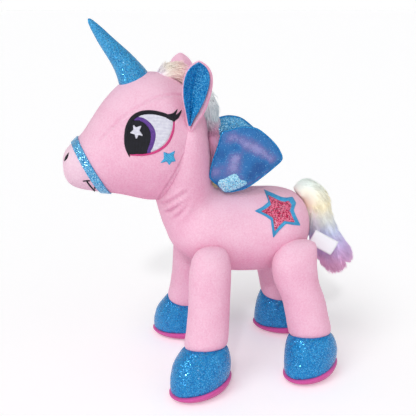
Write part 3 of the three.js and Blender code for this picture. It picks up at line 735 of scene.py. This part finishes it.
def closed_patch(name, bm, material):
    """Turns a surface to face out and gives it a back that sinks into the skin."""
    bmesh.ops.remove_doubles(bm, verts=bm.verts, dist=0.02 * mm)
    bmesh.ops.recalc_face_normals(bm, faces=bm.faces)
    if sum((f.normal.x * f.calc_area() for f in bm.faces)) < 0:
        bmesh.ops.reverse_faces(bm, faces=bm.faces)
    obj = made(name, bm, material)
    return modified(obj, "SOLIDIFY", thickness=0.9 * mm, offset=-1.0)


def meshed(bm, rim, cell, rounds):
    """Fills a flat outline with triangles no longer than the cell, and returns its corners."""
    corners = [bm.verts.new((y * mm, z * mm, 0)) for y, z in rim]
    bm.faces.new(corners)
    bmesh.ops.triangulate(bm, faces=bm.faces)
    for _ in range(rounds):
        long_edges = [e for e in bm.edges if e.calc_length() > cell * mm and not e.is_boundary]
        if not long_edges:
            break
        bmesh.ops.subdivide_edges(bm, edges=long_edges, cuts=1)
        bmesh.ops.triangulate(bm, faces=bm.faces)
        bmesh.ops.beautify_fill(bm, faces=bm.faces, edges=bm.edges)
    return corners


def filled(name, outline, tree, plane, rise, material, edge=1.2, cell=1.6, steps=5, base=0.1):
    """A filled shape with a puffed edge, meshed finely enough to lie on a round skin."""
    rim = through(outline, steps, True) if steps > 1 else evenly(list(outline) + [outline[0]], 60)[0][:-1]
    bm = bmesh.new()
    stitch = bm.loops.layers.uv.new("stitch")
    corners = meshed(bm, rim, cell, 5)
    boundary = [v for v in bm.verts if v.is_boundary][:len(corners)]
    rim_tree = kdtree.KDTree(len(corners))
    for i, v in enumerate(boundary):
        rim_tree.insert(v.co, i)
    rim_tree.balance()
    for f in bm.faces:
        for corner in f.loops:
            corner[stitch].uv = corner.vert.co.xy
    for v in bm.verts:
        inside = min(1.0, rim_tree.find(v.co)[2] / (edge * mm))
        height = (base + rise * math.sqrt(1 - (1 - inside) ** 2)) * mm
        v.co = on_skin(tree, v.co.x / mm, v.co.y / mm, plane, height)
    return closed_patch(name, bm, material)


def twin(obj, name):
    """The same piece on the right side."""
    bm = bmesh.new()
    bm.from_mesh(obj.data)
    mirrored(bm)
    return made(name, bm, obj.data.materials[0])


def both_sides(name, obj, body_name, nodes=()):
    """Sews a left piece and its right twin. Node and body names have left in them."""
    for side_name in ("left", "right"):
        piece = obj if side_name == "left" else twin(obj, name.replace("left", "right"))
        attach(piece, body_name.replace("left", side_name))
        if nodes:
            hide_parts(*[n.replace("left", side_name) for n in nodes])


eye_plane = 45
opening = [
    (-88, 229.6), (-90.3, 236.5), (-90, 243.4), (-88.7, 250.2), (-85.1, 256.9), (-79.9, 261), (-75.6, 262.9),
    (-67.2, 263.2), (-57.8, 261.2), (-50.6, 257.1),
    (-51.3, 249.5), (-54, 242.4), (-57.8, 237.2), (-62.5, 233.2),
    (-68.8, 230.6), (-78.3, 229.9),
]
pupil = [
    (-88, 229.3), (-91, 236.5), (-91, 243.4), (-89.4, 250.4), (-85.9, 256.6), (-80.9, 258.8), (-75.6, 257.2),
    (-70.6, 251.4), (-68.8, 244.6), (-69.8, 238), (-72.3, 232), (-73.6, 229.2), (-81, 229),
]
iris_outer = [
    (-82.5, 261), (-78.4, 261.3), (-72.6, 258.8), (-67, 252.9), (-64.8, 246.4), (-65.8, 239.5),
    (-68.2, 233), (-70.6, 229.2),
]
iris_inner = [
    (-84.4, 257), (-80.7, 257.4), (-76.2, 255.8), (-71.6, 251), (-70, 244.8), (-71, 238.6),
    (-73.4, 232.6), (-75.2, 229.4),
]
lid_outer = [
    (-88.4, 226.6), (-91.2, 233), (-92.3, 238.8), (-92.2, 245), (-91, 252.2), (-88.2, 258.4), (-84.2, 262.9),
    (-78.6, 265.7), (-72, 266.6), (-65.5, 266), (-58, 264), (-52.6, 262), (-47.4, 262.4),
]
lid_inner = [
    (-87.9, 228.4), (-89.2, 234.6), (-89.1, 240),
    (-88.8, 245), (-87.5, 250.8), (-84.8, 256.2), (-80.6, 260.2),
    (-75.6, 262.3), (-69, 262.8), (-63, 261.6), (-57, 259.6), (-51.8, 256.3), (-48.4, 256.2),
]
lashes = [
    ([(-54.5, 262.6), (-50, 263.5), (-46.6, 266.8)], [(-52, 258.4), (-48.6, 260.2), (-46.2, 266.3)]),
    ([(-51.5, 260.5), (-47, 262.2), (-43, 265.9)], [(-49.8, 256.2), (-45.4, 258.8), (-42.5, 265.3)]),
]
lower_outer = [
    (-48.6, 256), (-48.8, 251.4), (-49.3, 247.8),
    (-50.8, 243.2), (-53, 238.8), (-56.3, 234.8), (-60.4, 231.8),
    (-64.1, 229.8), (-68, 228.5), (-74.9, 227.3), (-81.8, 227.4), (-87.8, 228.1),
]
lower_inner = [
    (-50, 256), (-50.5, 251.4), (-51.2, 248.2), (-52.7, 244.1), (-54.8, 240), (-57.8, 236.4), (-61.6, 233.6),
    (-65, 231.7), (-68.2, 230.5), (-74.9, 229.4), (-81.8, 229.4), (-87.8, 230),
]
eye_star = [
    (-84.3, 255.4), (-81.7, 252.3), (-76.9, 253.7),
    (-78.7, 249.3), (-75.6, 244.4), (-79.8, 245.4), (-81.9, 241.5),
    (-83.2, 246.1), (-87.3, 247.6), (-84.2, 250),
]
cheek_star = [
    (-48.8, 230.7), (-50, 226.3), (-48.3, 221.3), (-51.9, 220.9), (-54.2, 218), (-56.3, 221.4), (-62, 220.2),
    (-58.7, 224.3), (-58.9, 230.2), (-54.4, 228.4),
]
both_sides("eye_left_white_satin", filled("eye_left_white_satin", opening, head_surface, eye_plane, 0.35, white_thread,
           steps=3), "head", ("eye_left_white",))
both_sides("eye_left_pupil_satin", filled("eye_left_pupil_satin", pupil, head_surface, eye_plane, 0.55, black_thread,
           steps=3, base=0.25), "head", ("eye_left_pupil",))
both_sides("eye_left_iris_satin", band("eye_left_iris_satin", through(iris_outer, 4), through(iris_inner, 4),
           head_surface, eye_plane, 0.9, purple_thread), "head", ("eye_left_iris",))
both_sides("eye_left_lid_satin", band("eye_left_lid_satin", through(lid_outer, 4), through(lid_inner, 4),
           head_surface, eye_plane, 1.0, black_thread), "head", ("eye_left_lid",))
for number, (upper, lower) in enumerate(lashes, 1):
    name = f"eye_left_lash_{number}"
    both_sides(name, band(name, through(upper, 4), through(lower, 4), head_surface, eye_plane, 0.8, black_thread),
               "head")
both_sides("eye_left_lower_line", band("eye_left_lower_line", through(lower_outer, 4), through(lower_inner, 4),
           head_surface, eye_plane, 0.6, pink_thread, 4), "head")
both_sides("eye_left_star", filled("eye_left_star", eye_star, head_surface, eye_plane, 0.6, white_thread, edge=0.8,
           cell=1.2, steps=1, base=0.75), "head")
both_sides("cheek_star_left_satin", filled("cheek_star_left_satin", cheek_star, head_surface, eye_plane, 1.1,
           blue_thread, edge=2.4, cell=1.0, steps=1), "head", ("cheek_star_left",))

muzzle_surface = surface_of(muzzle)
nostril_upper = [(-139.4, 227.6), (-141, 226), (-143, 223.4), (-143.9, 220)]
nostril_lower = [(-139.4, 227.4), (-140, 224.6), (-141.4, 221.8), (-143.6, 219.8)]
mouth_upper = [(-124.8, 202.4), (-122.7, 199), (-120.6, 196.1), (-118.2, 193), (-116.9, 191.4)]
mouth_lower = [(-125.9, 201.6), (-123.9, 198.2), (-121.8, 195.3), (-119.4, 192.2), (-117.7, 190.8)]
tick_upper = [(-122.3, 202.9), (-125.6, 203.2), (-128.8, 202.8)]
tick_lower = [(-122.5, 201.7), (-125.6, 201.9), (-128.6, 201.8)]
for name, upper, lower, plane, nodes in (
    ("nostril_left_satin", nostril_upper, nostril_lower, 20, ("nostril_left",)),
    ("mouth_left_satin", mouth_upper, mouth_lower, 25, ()),
    ("mouth_left_tick", tick_upper, tick_lower, 25, ()),
):
    both_sides(name, band(name, through(upper, 4), through(lower, 4), muzzle_surface, plane, 0.55, black_thread, 4),
               "head", nodes)

# ---- Hip star and care label -------------------------------------------------------------
# A glitter star with a wide satin border, sewn on the left flank, and a folded satin care
# label caught in the seam under the tail.
star_outer = [
    (32.1, 191.6), (35.6, 182.8), (36.8, 179.4), (31.5, 175.2), (23.6, 171.3), (33, 166.4), (39.6, 161.7),
    (40.8, 153.6), (42.4, 143.8), (47.9, 150.6), (54.6, 157.1), (61.4, 155.4), (68.9, 154.2), (64.4, 163.2),
    (61.4, 170.2), (63.6, 176.9), (59.8, 183.2), (54.5, 182.4), (49.4, 183.2), (40.6, 187.6),
]
star_centre = np.array([47, 168])
pink_glitter = glitter("pink_glitter_fabric", "#980B34", "#BE2352", "#E0708F", flash="#F0A6C0", share=0.25,
                       size=1.0 * mm, lean=0.7, bloom=5 * mm)
blue_border = satin("blue_border_rayon", "#55BDEB", "#1187CC")
star_edge = np.array(star_outer)
inner_edge = star_centre + (star_edge - star_centre) * 0.71
closed_outer = evenly(np.vstack([star_edge, star_edge[:1]]), 121)[0]
closed_inner = evenly(np.vstack([inner_edge, inner_edge[:1]]), 121)[0]
fill = filled("hip_star_glitter", [tuple(p) for p in star_centre + (star_edge - star_centre) * 0.84], body_surface, 44,
              0.3, pink_glitter, steps=1, cell=2.0)
border = band("hip_star_satin", closed_outer, closed_inner, body_surface, 44, 1.1, blue_border)
for piece, slot, node in ((fill, "pink_glitter", "hip_star"), (border, "blue_thread", "hip_star_border")):
    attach(piece, "torso")
    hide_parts(node)

# Woven label satin: smooth, white, faintly ribbed. It is blank.
label_material, label_shader = finish("label_satin", {"Base Color": linear("#EDEDF3"), "Roughness": 0.5})
label_place = add(label_material, "ShaderNodeTexCoord").outputs["Object"]
ribs = add(label_material, "ShaderNodeTexWave", {"Vector": label_place, "Scale": 0.314 / mm}, bands_direction="Z")
rib_bump = add(label_material, "ShaderNodeBump",
               {"Strength": 0.2, "Distance": 0.1 * mm, "Height": ribs.outputs["Fac"]})
plug(label_material, label_shader, Normal=rib_bump.outputs[0])
# the strip's way out of the seam and back: its x, and its distance out along the fold
label_profile = [(27, -10), (28, 0), (28.8, 9), (29, 14.5), (28.4, 16.6), (27.4, 16.8), (26.8, 15), (26.8, 9),
                 (26.4, 0), (26, -10)]
label_width = 15
label_seam = (95.7, 131.3)
label_droop = math.radians(30)
label_path, label_run = evenly(through(label_profile, 5), 41)
bm = bmesh.new()
bmesh.ops.create_grid(bm, x_segments=40, y_segments=8, size=0.5)
for v in bm.verts:
    x, out = label_path[int(round((v.co.x + 0.5) * 40))]
    across = v.co.y * label_width
    x += 0.8 * math.cos(math.pi * v.co.y)
    v.co = Vector((x, label_seam[0] + out * math.cos(label_droop) + across * math.sin(label_droop),
                   label_seam[1] - out * math.sin(label_droop) + across * math.cos(label_droop))) * mm
label = made("care_label_satin", bm, label_material)
modified(label, "SOLIDIFY", thickness=0.3 * mm, offset=0.0)
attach(label, "torso")
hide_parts("care_label")

# ---- Horn --------------------------------------------------------------------------------
# A stuffed cone of pale blue glitter fabric, a little bent, sewn upright on the forehead
# with a puckered seam up its back from foot to tip.
horn_rows = [
    # the centre line's y and z, and the cone's radius
    (-77, 284, 14.6), (-80, 290, 14.4), (-84.5, 298, 12.2), (-89.5, 305.5, 10.4), (-95.5, 313, 8.8),
    (-102, 321, 7.3), (-108, 329, 5.7), (-112.8, 335.4, 4.1), (-115.8, 339.4, 2.7), (-117, 341.2, 1.0),
]
horn_glitter = glitter("horn_glitter_fabric", "#0667AA", "#187EBC", "#3A9CD2", flash="#62B4E2", share=0.35, lean=0.9,
                       size=0.6 * mm)
horn_path = through(horn_rows, 5)
bm = bmesh.new()


def horn_ring(k):
    y, z, radius = horn_path[k]
    ahead = horn_path[min(k + 1, len(horn_path) - 1)] - horn_path[max(k - 1, 0)]
    along = Vector((0, ahead[0], ahead[1])).normalized()
    across = along.cross(Vector((1, 0, 0)))
    return lambda c, s: (Vector((radius * c, y, z)) + across * (radius * s)) * mm


loft(bm, [horn_ring(k) for k in range(len(horn_path))], 32)
horn = made("horn_skin", bm, horn_glitter)
modified(horn, "REMESH", mode="VOXEL", voxel_size=1.6 * mm)
modified(horn, "SMOOTH", factor=0.5, iterations=4)
stuff(horn, 0.5 * mm, pressure=3.0, cap=0.8 * mm)
modified(horn, "SUBSURF", levels=1, render_levels=1)
horn_seam = np.array([(0, y + 0.80 * r, z + 0.59 * r) for y, z, r in horn_path]) * mm
press(horn, horn_seam, 0.9 * mm, 0.6 * mm, 2.6 * mm)
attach(horn, "horn")
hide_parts("horn_stuffing", "horn_cover")

# ---- Ears --------------------------------------------------------------------------------
# A velour leaf lined with blue glitter fabric, pinched together at the foot so that it cups
# forward with a fold down the middle. Only the front of the edge shows pink.
ear_front_edge = [
    (-34, 246), (-35.6, 254), (-37.6, 265), (-39.8, 275), (-40.2, 284), (-39.2, 293), (-35.2, 301),
    (-28.6, 305.4),
]
ear_back_edge = [
    (-33, 246), (-29, 254.5), (-23.4, 263.5), (-19.6, 275), (-17.6, 285), (-18.2, 294), (-21.8, 300.6),
    (-27.6, 304.6),
]
lining_front_edge = [
    (-35.2, 251), (-36.6, 257), (-38.2, 265), (-40.2, 274), (-40.8, 284), (-39.8, 293), (-35.8, 301),
    (-28.6, 305.6),
]
lining_back_edge = [
    (-34.2, 251), (-31.6, 258), (-27.6, 265), (-23.6, 273.5), (-20.4, 284), (-19.8, 293), (-22.6, 300.5),
    (-28, 305),
]
ear_lean = math.tan(math.radians(20))
ear_cup = 5.5


def ear_leaf(name, one, other, out, thick, material, fold, reach):
    """A cupped leaf between two edges. out moves it off the middle surface towards the lining."""
    count, across = 30, 24
    first, _ = evenly(through(one, 6), count + 1)
    second, _ = evenly(through(other, 6), count + 1)
    bm = bmesh.new()
    bmesh.ops.create_grid(bm, x_segments=count, y_segments=across, size=0.5)
    for v in bm.verts:
        s, t = v.co.x + 0.5, v.co.y + 0.5
        k = int(round(s * count))
        y, z = first[k] * (1 - t) + second[k] * t
        width = np.linalg.norm(first[k] - second[k])
        cup = (4 * (t - 0.5) ** 2 - 1) * ear_cup * min(1, width / 20)
        crease = fold * math.exp(-((t - 0.47) / reach) ** 2) * (1 - s) ** 0.5 * min(1, 6 * s)
        x = 40 + (z - 250) * ear_lean * 0.62 + cup - crease + out * min(1, width / 8)
        v.co = Vector((x, y, z)) * mm
    bmesh.ops.remove_doubles(bm, verts=bm.verts, dist=0.05 * mm)
    bmesh.ops.recalc_face_normals(bm, faces=bm.faces)
    if sum(f.normal.x * f.calc_area() for f in bm.faces) < 0:
        bmesh.ops.reverse_faces(bm, faces=bm.faces)
    obj = made(name, bm, material)
    modified(obj, "SOLIDIFY", thickness=thick * mm, offset=-1.0)
    modified(obj, "BEVEL", width=0.3 * thick * mm, segments=2, limit_method="ANGLE")
    return modified(obj, "SUBSURF", levels=1, render_levels=1)


both_sides("ear_left_shell", ear_leaf("ear_left_shell", ear_front_edge, ear_back_edge, 0, 2.6, pink_pile, 5.0, 0.2),
           "ear_left", ("ear_left_back",))
both_sides("ear_left_inside", ear_leaf("ear_left_inside", lining_front_edge, lining_back_edge, 1.2, 1.0, blue_glitter,
           3.0, 0.09), "ear_left", ("ear_left_lining",))

# ---- Wings -------------------------------------------------------------------------------
# Flat pillows of iridescent blue foil fabric outside and glitter fabric inside, with a piped
# top edge, thinly filled, and a lighter glitter feather sewn over the lower front corner.
wing_outline = [
    (-4, 242), (3, 244.5), (15, 247), (27, 245),
    (36, 239), (46, 229.5), (51.4, 222), (54, 214.5), (48, 207.5),
    (37, 198), (28, 191), (19, 186), (3, 184), (-5, 191), (-12, 197.5), (-13.4, 203), (-11.4, 215), (-7, 230),
]
wing_root_x = 19
# where the foil looks lilac, or for a negative share deep blue: y, z, reach and share
foil_patches = [
    (4, 238, 6, 0.5), (12, 235, 6, 0.5), (20, 231, 6, 0.55),
    (28, 226, 6, 0.6), (36, 220, 6, 0.6), (43, 215, 5, 0.5),
    (34, 207, 8, -0.5), (25, 199, 5, -0.35), (9, 229, 5, -0.4),
    (-4, 222, 5, -0.3), (9, 219, 7, 0.6), (7, 208, 8, 0.6),
    (-9, 206, 6, 0.5), (40, 202, 4, 0.5), (33, 196, 4, 0.5), (26, 191, 4, 0.4), (16, 197, 5, 0.3),
]
wing_slope = math.tan(math.radians(12))


feather_glitter = glitter("feather_glitter_fabric", "#2C8CC4", "#5CB0DC", "#A8DEF2", flash="#C0E6F6", share=0.4,
                          lean=0.9)


def wing_side(name, outline, bulge, material, way, cell=3.0, lift=0.0, ripple=0.0):
    """One face of a wing pillow in its leaning plane. way is 1 for the outer face, -1 inside."""
    rim = through(outline, 5, True)
    bm = bmesh.new()
    lilac = bm.verts.layers.float.new("lilac")
    meshed(bm, rim, cell, 6)
    inside_verts = [v for v in bm.verts if not v.is_boundary]
    for _ in range(4):
        bmesh.ops.smooth_vert(bm, verts=inside_verts, factor=0.5, use_axis_x=True, use_axis_y=True)
    distance, _, _ = near(np.array([v.co[:] for v in bm.verts]), np.column_stack([rim * mm, np.zeros(len(rim))]))
    for v, inside in zip(bm.verts, distance / mm):
        y, z = v.co.x / mm, v.co.y / mm
        puff = bulge * (1 - math.exp(-inside / 5)) + ripple * math.sin(0.33 * y - 0.21 * z) * min(1, inside / 8)
        # the channel sewn parallel to the top edge
        if bulge > 2:
            puff -= 0.8 * math.exp(-((inside - 5.5) / 1.3) ** 2) * min(1, max(0, (z - 199) / 20))
        x = wing_root_x + (z - 185) * wing_slope + way * (puff + 0.25) + lift
        v[lilac] = sum(share * math.exp(-((y - py) ** 2 + (z - pz) ** 2) / reach ** 2)
                       for py, pz, reach, share in foil_patches)
        v.co = Vector((x, y, z)) * mm
    bmesh.ops.recalc_face_normals(bm, faces=bm.faces)
    if sum(f.normal.x * f.calc_area() for f in bm.faces) * way < 0:
        bmesh.ops.reverse_faces(bm, faces=bm.faces)
    obj = made(name, bm, material)
    modified(obj, "SOLIDIFY", thickness=0.8 * mm, offset=-1.0)
    return modified(obj, "SUBSURF", levels=1, render_levels=1)


# Iridescent foil fabric: a blue film that turns lilac in soft patches, dusted with glitter.
def foil(name, blue, deep, lilac):
    material, shader = finish(name, {"Roughness": 0.4, "Metallic": 0.15, "Specular IOR Level": 0.5})
    place = add(material, "ShaderNodeTexCoord").outputs["Object"]
    zone = add(material, "ShaderNodeTexNoise", {"Vector": place, "Scale": 1 / (11 * mm), "Detail": 2.5,
                                                "Distortion": 0.7})
    cells = add(material, "ShaderNodeTexVoronoi", {"Vector": place, "Scale": 1 / (0.5 * mm)})
    split = add(material, "ShaderNodeSeparateColor", {"Color": cells.outputs["Color"]})
    patch = add(material, "ShaderNodeAttribute", attribute_name="lilac").outputs["Fac"]
    cloudy = add(material, "ShaderNodeMath", {0: zone.outputs["Fac"], 1: 0.5, 2: patch},
                 operation="MULTIPLY_ADD")
    fine = add(material, "ShaderNodeMath", {0: split.outputs[0], 1: 0.22, 2: cloudy.outputs[0]},
               operation="MULTIPLY_ADD")
    ramp = add(material, "ShaderNodeValToRGB", {"Fac": fine.outputs[0]})
    ramp.color_ramp.elements[0].position = 0.05
    ramp.color_ramp.elements[0].color = linear(deep)
    ramp.color_ramp.elements[1].position = 0.42
    ramp.color_ramp.elements[1].color = linear(blue)
    ramp.color_ramp.elements.new(0.78).color = linear(lilac)
    ramp.color_ramp.elements.new(1.0).color = linear("#8C8CC4")
    sparkle = add(material, "ShaderNodeMapRange",
                  {"Value": split.outputs[1], "From Min": 0.96, "From Max": 0.99})
    colour = add(material, "ShaderNodeMix",
                 {"Factor": sparkle.outputs[0], 6: ramp.outputs[0], 7: linear("#6FB4DE")}, data_type="RGBA")
    lay = add(material, "ShaderNodeNewGeometry").outputs["Normal"]
    tilt = add(material, "ShaderNodeVectorMath", {0: cells.outputs["Color"], 1: (0.5, 0.5, 0.5)}, operation="SUBTRACT")
    tilted = add(material, "ShaderNodeVectorMath", {0: tilt.outputs[0], 1: (0.5, 0.5, 0.5), 2: lay},
                 operation="MULTIPLY_ADD")
    even = add(material, "ShaderNodeVectorMath", {0: tilted.outputs[0]}, operation="NORMALIZE")
    plug(material, shader, Base_Color=colour.outputs[2], Normal=even.outputs[0])
    return material


wing_foil = foil("wing_foil_fabric", "#1A6FB2", "#08549A", "#5E6AAA")
feather_outline = [
    (-6, 195.5), (-1, 200), (6, 203.6), (13, 202), (22, 193), (17, 188.6), (9, 185.4), (1, 184.4),
    (-5, 190.5),
]
both_sides("wing_left_face", wing_side("wing_left_face", wing_outline, 3.4, wing_foil, 1, ripple=0.5), "wing_left",
           ("wing_left_outer",))
both_sides("wing_left_back", wing_side("wing_left_back", wing_outline, 2.6, pale_glitter, -1), "wing_left",
           ("wing_left_inner",))
plume = wing_side("wing_left_plume", feather_outline, 2.4, feather_glitter, 1, cell=2.0, lift=2.4)
both_sides("wing_left_plume", plume, "wing_left", ("wing_left_feather",))


def cordlike(name, line, radius, material, closed=False):
    """A round piping along a line of points, as a closed mesh."""
    curve = bpy.data.curves.new(name, "CURVE")
    curve.dimensions = "3D"
    curve.bevel_depth = radius
    curve.bevel_resolution = 2
    curve.use_fill_caps = True
    spline = curve.splines.new("POLY")
    spline.points.add(len(line) - 1)
    spline.points.foreach_set("co", np.column_stack([line, np.ones(len(line))]).astype(np.float32).ravel())
    spline.use_cyclic_u = closed
    obj = linked(name, curve)
    graph = bpy.context.evaluated_depsgraph_get()
    mesh = bpy.data.meshes.new_from_object(obj.evaluated_get(graph))
    bpy.data.objects.remove(obj)
    mesh.shade_smooth()
    mesh.materials.clear()
    mesh.materials.append(material)
    return linked(name, mesh)


piping_flat = through(wing_outline, 8, True)
piping_line = np.array([(wing_root_x + (z - 185) * wing_slope, y, z) for y, z in piping_flat]) * mm
piping = cordlike("wing_left_piping", piping_line, 0.9 * mm, blue_glitter, True)
both_sides("wing_left_piping", piping, "wing_left")

# ---- Mane and tail -----------------------------------------------------------------------
# Long-pile fur, dyed in pastel bands: a tuft between the horn and the ears, a crest down the
# back of the neck, and a full tail. Loose clumps of fibre lie over a denser backing.


# Dyed acrylic fibre: soft, with a silky sheen along the strands. The bands blend into each
# other down the pile.
def dyed_fur(name, stops, low, high, axis="Z"):
    material, shader = finish(name, {
        "Roughness": 0.7, "Specular IOR Level": 0.25, "Sheen Weight": 0.4, "Sheen Roughness": 0.4,
        "Sheen Tint": (1, 1, 1, 1),
    })
    place = add(material, "ShaderNodeTexCoord").outputs["Object"]
    apart = add(material, "ShaderNodeSeparateXYZ", {"Vector": place})
    wobble = add(material, "ShaderNodeTexNoise", {"Vector": place, "Scale": 1 / (9 * mm), "Detail": 3.0})
    shifted = add(material, "ShaderNodeMath", {0: wobble.outputs["Fac"], 1: 14 * mm, 2: apart.outputs[axis]},
                  operation="MULTIPLY_ADD")
    level = add(material, "ShaderNodeMapRange", {"Value": shifted.outputs[0], "From Min": (low + 7) * mm,
                                                 "From Max": (high + 7) * mm})
    ramp = add(material, "ShaderNodeValToRGB", {"Fac": level.outputs[0]})
    ramp.color_ramp.elements[0].position = stops[0][0]
    ramp.color_ramp.elements[0].color = linear(stops[0][1])
    ramp.color_ramp.elements[1].position = stops[-1][0]
    ramp.color_ramp.elements[1].color = linear(stops[-1][1])
    for position, code in stops[1:-1]:
        ramp.color_ramp.elements.new(position).color = linear(code)
    plug(material, shader, Base_Color=ramp.outputs[0])
    return material


tail_fur = dyed_fur("tail_fur_dye", [
    (0.0, "#EDA9D0"), (0.20, "#EBB2DB"), (0.36, "#D9BFEC"),
    (0.52, "#D5DBF6"), (0.66, "#EFF1EE"), (0.80, "#FDF4D6"),
    (0.93, "#F8F7E8"), (1.0, "#F2FAF5"),
], 78, 184)
mane_fur = dyed_fur("mane_fur_dye", [
    (0.0, "#F8EEC0"), (0.13, "#F5B4D0"), (0.42, "#F3B4D2"),
    (0.53, "#E6F1F6"), (0.8, "#F7FAFB"), (1.0, "#FCF6F0"),
], 189, 306)
forelock_fur = dyed_fur("forelock_fur_dye", [
    (0.0, "#EFE9F6"), (0.3, "#F8F1E6"), (0.6, "#FCE6DC"), (1.0, "#F8C9D9"),
], -58, -26, "Y")


def core(name, rows, material, voxel=2.5 * mm):
    """The backing under the fibres. A row has the centre's y and z, then half-widths across
    the path in the middle plane and along x."""
    path = through(rows, 4)
    rings = []
    for k, (y, z, half, half_x) in enumerate(path):
        ahead = path[min(k + 1, len(path) - 1)] - path[max(k - 1, 0)]
        along = Vector((0, ahead[0], ahead[1])).normalized()
        across = along.cross(Vector((1, 0, 0)))
        rings.append(lambda c, s, p=(y, z, half, half_x), w=across:
                     (Vector((p[3] * c, p[0], p[1])) + w * (p[2] * s)) * mm)
    bm = bmesh.new()
    loft(bm, rings, 28)
    obj = made(name, bm, material)
    modified(obj, "REMESH", mode="VOXEL", voxel_size=voxel)
    modified(obj, "SMOOTH", factor=0.5, iterations=4)
    return obj


def fibres(name, backing, flow, count, length, thick, lift, seed, material, clumps=90, pull=0.4):
    """Tapered strands rooted on a backing. flow gives their direction at a point."""
    dice = np.random.default_rng(seed)
    mesh = backing.data
    mesh.calc_loop_triangles()
    corners = np.array([t.vertices[:] for t in mesh.loop_triangles])
    co = points(mesh)
    normal = normals(mesh)
    a, b, c = (co[corners[:, k]] for k in range(3))
    area = np.linalg.norm(np.cross(b - a, c - a), axis=1)
    chosen = dice.choice(len(corners), count, p=area / area.sum())
    u, w = dice.random(count), dice.random(count)
    u, w = np.where(u + w > 1, 1 - u, u), np.where(u + w > 1, 1 - w, w)
    root = a[chosen] + (b - a)[chosen] * u[:, None] + (c - a)[chosen] * w[:, None]
    out = normal[corners[chosen, 0]]
    hub = dice.choice(count, clumps, replace=False)
    nearest = hub[np.argmin(((root[:, None] - root[hub][None]) ** 2).sum(2), axis=1)]
    reach = length * dice.uniform(0.65, 1.1, count)
    sway = dice.normal(0, 0.13, (count, 3))
    steps = 5
    line = np.empty((count, steps, 3))
    line[:, 0] = root - out * 0.8 * mm
    for k in range(1, steps):
        way = flow(line[:, k - 1]) + sway + out * (lift * (1.4 - k / (steps - 1)))
        way /= np.linalg.norm(way, axis=1, keepdims=True)
        line[:, k] = line[:, k - 1] + way * (reach / (steps - 1))[:, None]
    for k in range(1, steps):
        share = pull * (k / (steps - 1)) ** 1.5
        line[:, k] += (line[nearest, k] - line[:, k]) * share
    curve = bpy.data.curves.new(name, "CURVE")
    curve.dimensions = "3D"
    curve.bevel_depth = thick
    curve.bevel_resolution = 0
    curve.use_fill_caps = True
    taper = np.array([1.0, 0.95, 0.8, 0.55, 0.12], np.float32)
    for strand in line:
        spline = curve.splines.new("POLY")
        spline.points.add(steps - 1)
        spline.points.foreach_set("co", np.column_stack([strand, np.ones(steps)]).astype(np.float32).ravel())
        spline.points.foreach_set("radius", taper)
    obj = linked(name, curve)
    graph = bpy.context.evaluated_depsgraph_get()
    shape = bpy.data.meshes.new_from_object(obj.evaluated_get(graph))
    bpy.data.objects.remove(obj)
    shape.materials.clear()
    shape.materials.append(material)
    shape.shade_smooth()
    return linked(name, shape)


def along_path(rows):
    """The direction of a path of y and z points, at the nearest of them."""
    path = through([(y, z) for y, z, *_ in rows], 8) * mm
    ahead = np.gradient(path, axis=0)
    ahead /= np.linalg.norm(ahead, axis=1, keepdims=True)

    def flow(where):
        k = np.argmin(((where[:, None, 1:] - path[None]) ** 2).sum(2), axis=1)
        return np.column_stack([np.zeros(len(where)), ahead[k]])
    return flow


def fur_piece(name, rows, count, length, thick, lift, seed, material, body_name, node, clumps):
    backing = core(name + "_backing", rows, material)
    strands = fibres(name + "_fibres", backing, along_path(rows), count, length, thick, lift, seed, material,
                     clumps)
    for piece in (backing, strands):
        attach(piece, body_name)
    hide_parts(node)


tail_rows = [
    (79, 173, 6, 10), (86, 177, 9, 13), (93.5, 173, 11.5, 15), (99, 163, 12.5, 16), (102.5, 150, 12.5, 16),
    (106, 137, 13, 16), (111, 125, 14.5, 16),
    (117, 114, 16, 16), (123.5, 105, 15, 14.5), (127.5, 99.5, 9, 10),
]
fur_piece("tail", tail_rows, 5400, 13 * mm, 0.4 * mm, 0.2, 11, tail_fur, "tail", "tail_fur", 150)
forelock_rows = [
    (-57, 285.5, 5, 8), (-51, 291.5, 6.5, 11), (-43, 294, 7, 12), (-35, 292, 7, 11), (-30, 287, 5, 8),
]
fur_piece("forelock", forelock_rows, 1500, 11 * mm, 0.4 * mm, 0.3, 12, forelock_fur, "head",
          "mane_forelock", 50)
crest_rows = [
    (-30, 285, 5, 9), (-21, 278, 6, 12), (-14, 269, 7, 13), (-11, 259, 7, 13), (-10, 249, 6, 12),
    (-9, 242, 4, 8),
]
fur_piece("crest", crest_rows, 2200, 13 * mm, 0.4 * mm, 0.3, 13, mane_fur, "head", "mane_crest", 60)
neck_mane_rows = [
    (-11, 240, 4, 7), (-7, 232, 6, 10), (-5, 222, 7, 11), (-7, 210, 6, 11), (-9, 199, 5, 9),
    (-9, 192, 3, 6),
]
fur_piece("neck_mane", neck_mane_rows, 2000, 13 * mm, 0.4 * mm, 0.28, 14, mane_fur, "neck",
          "mane_neck", 60)
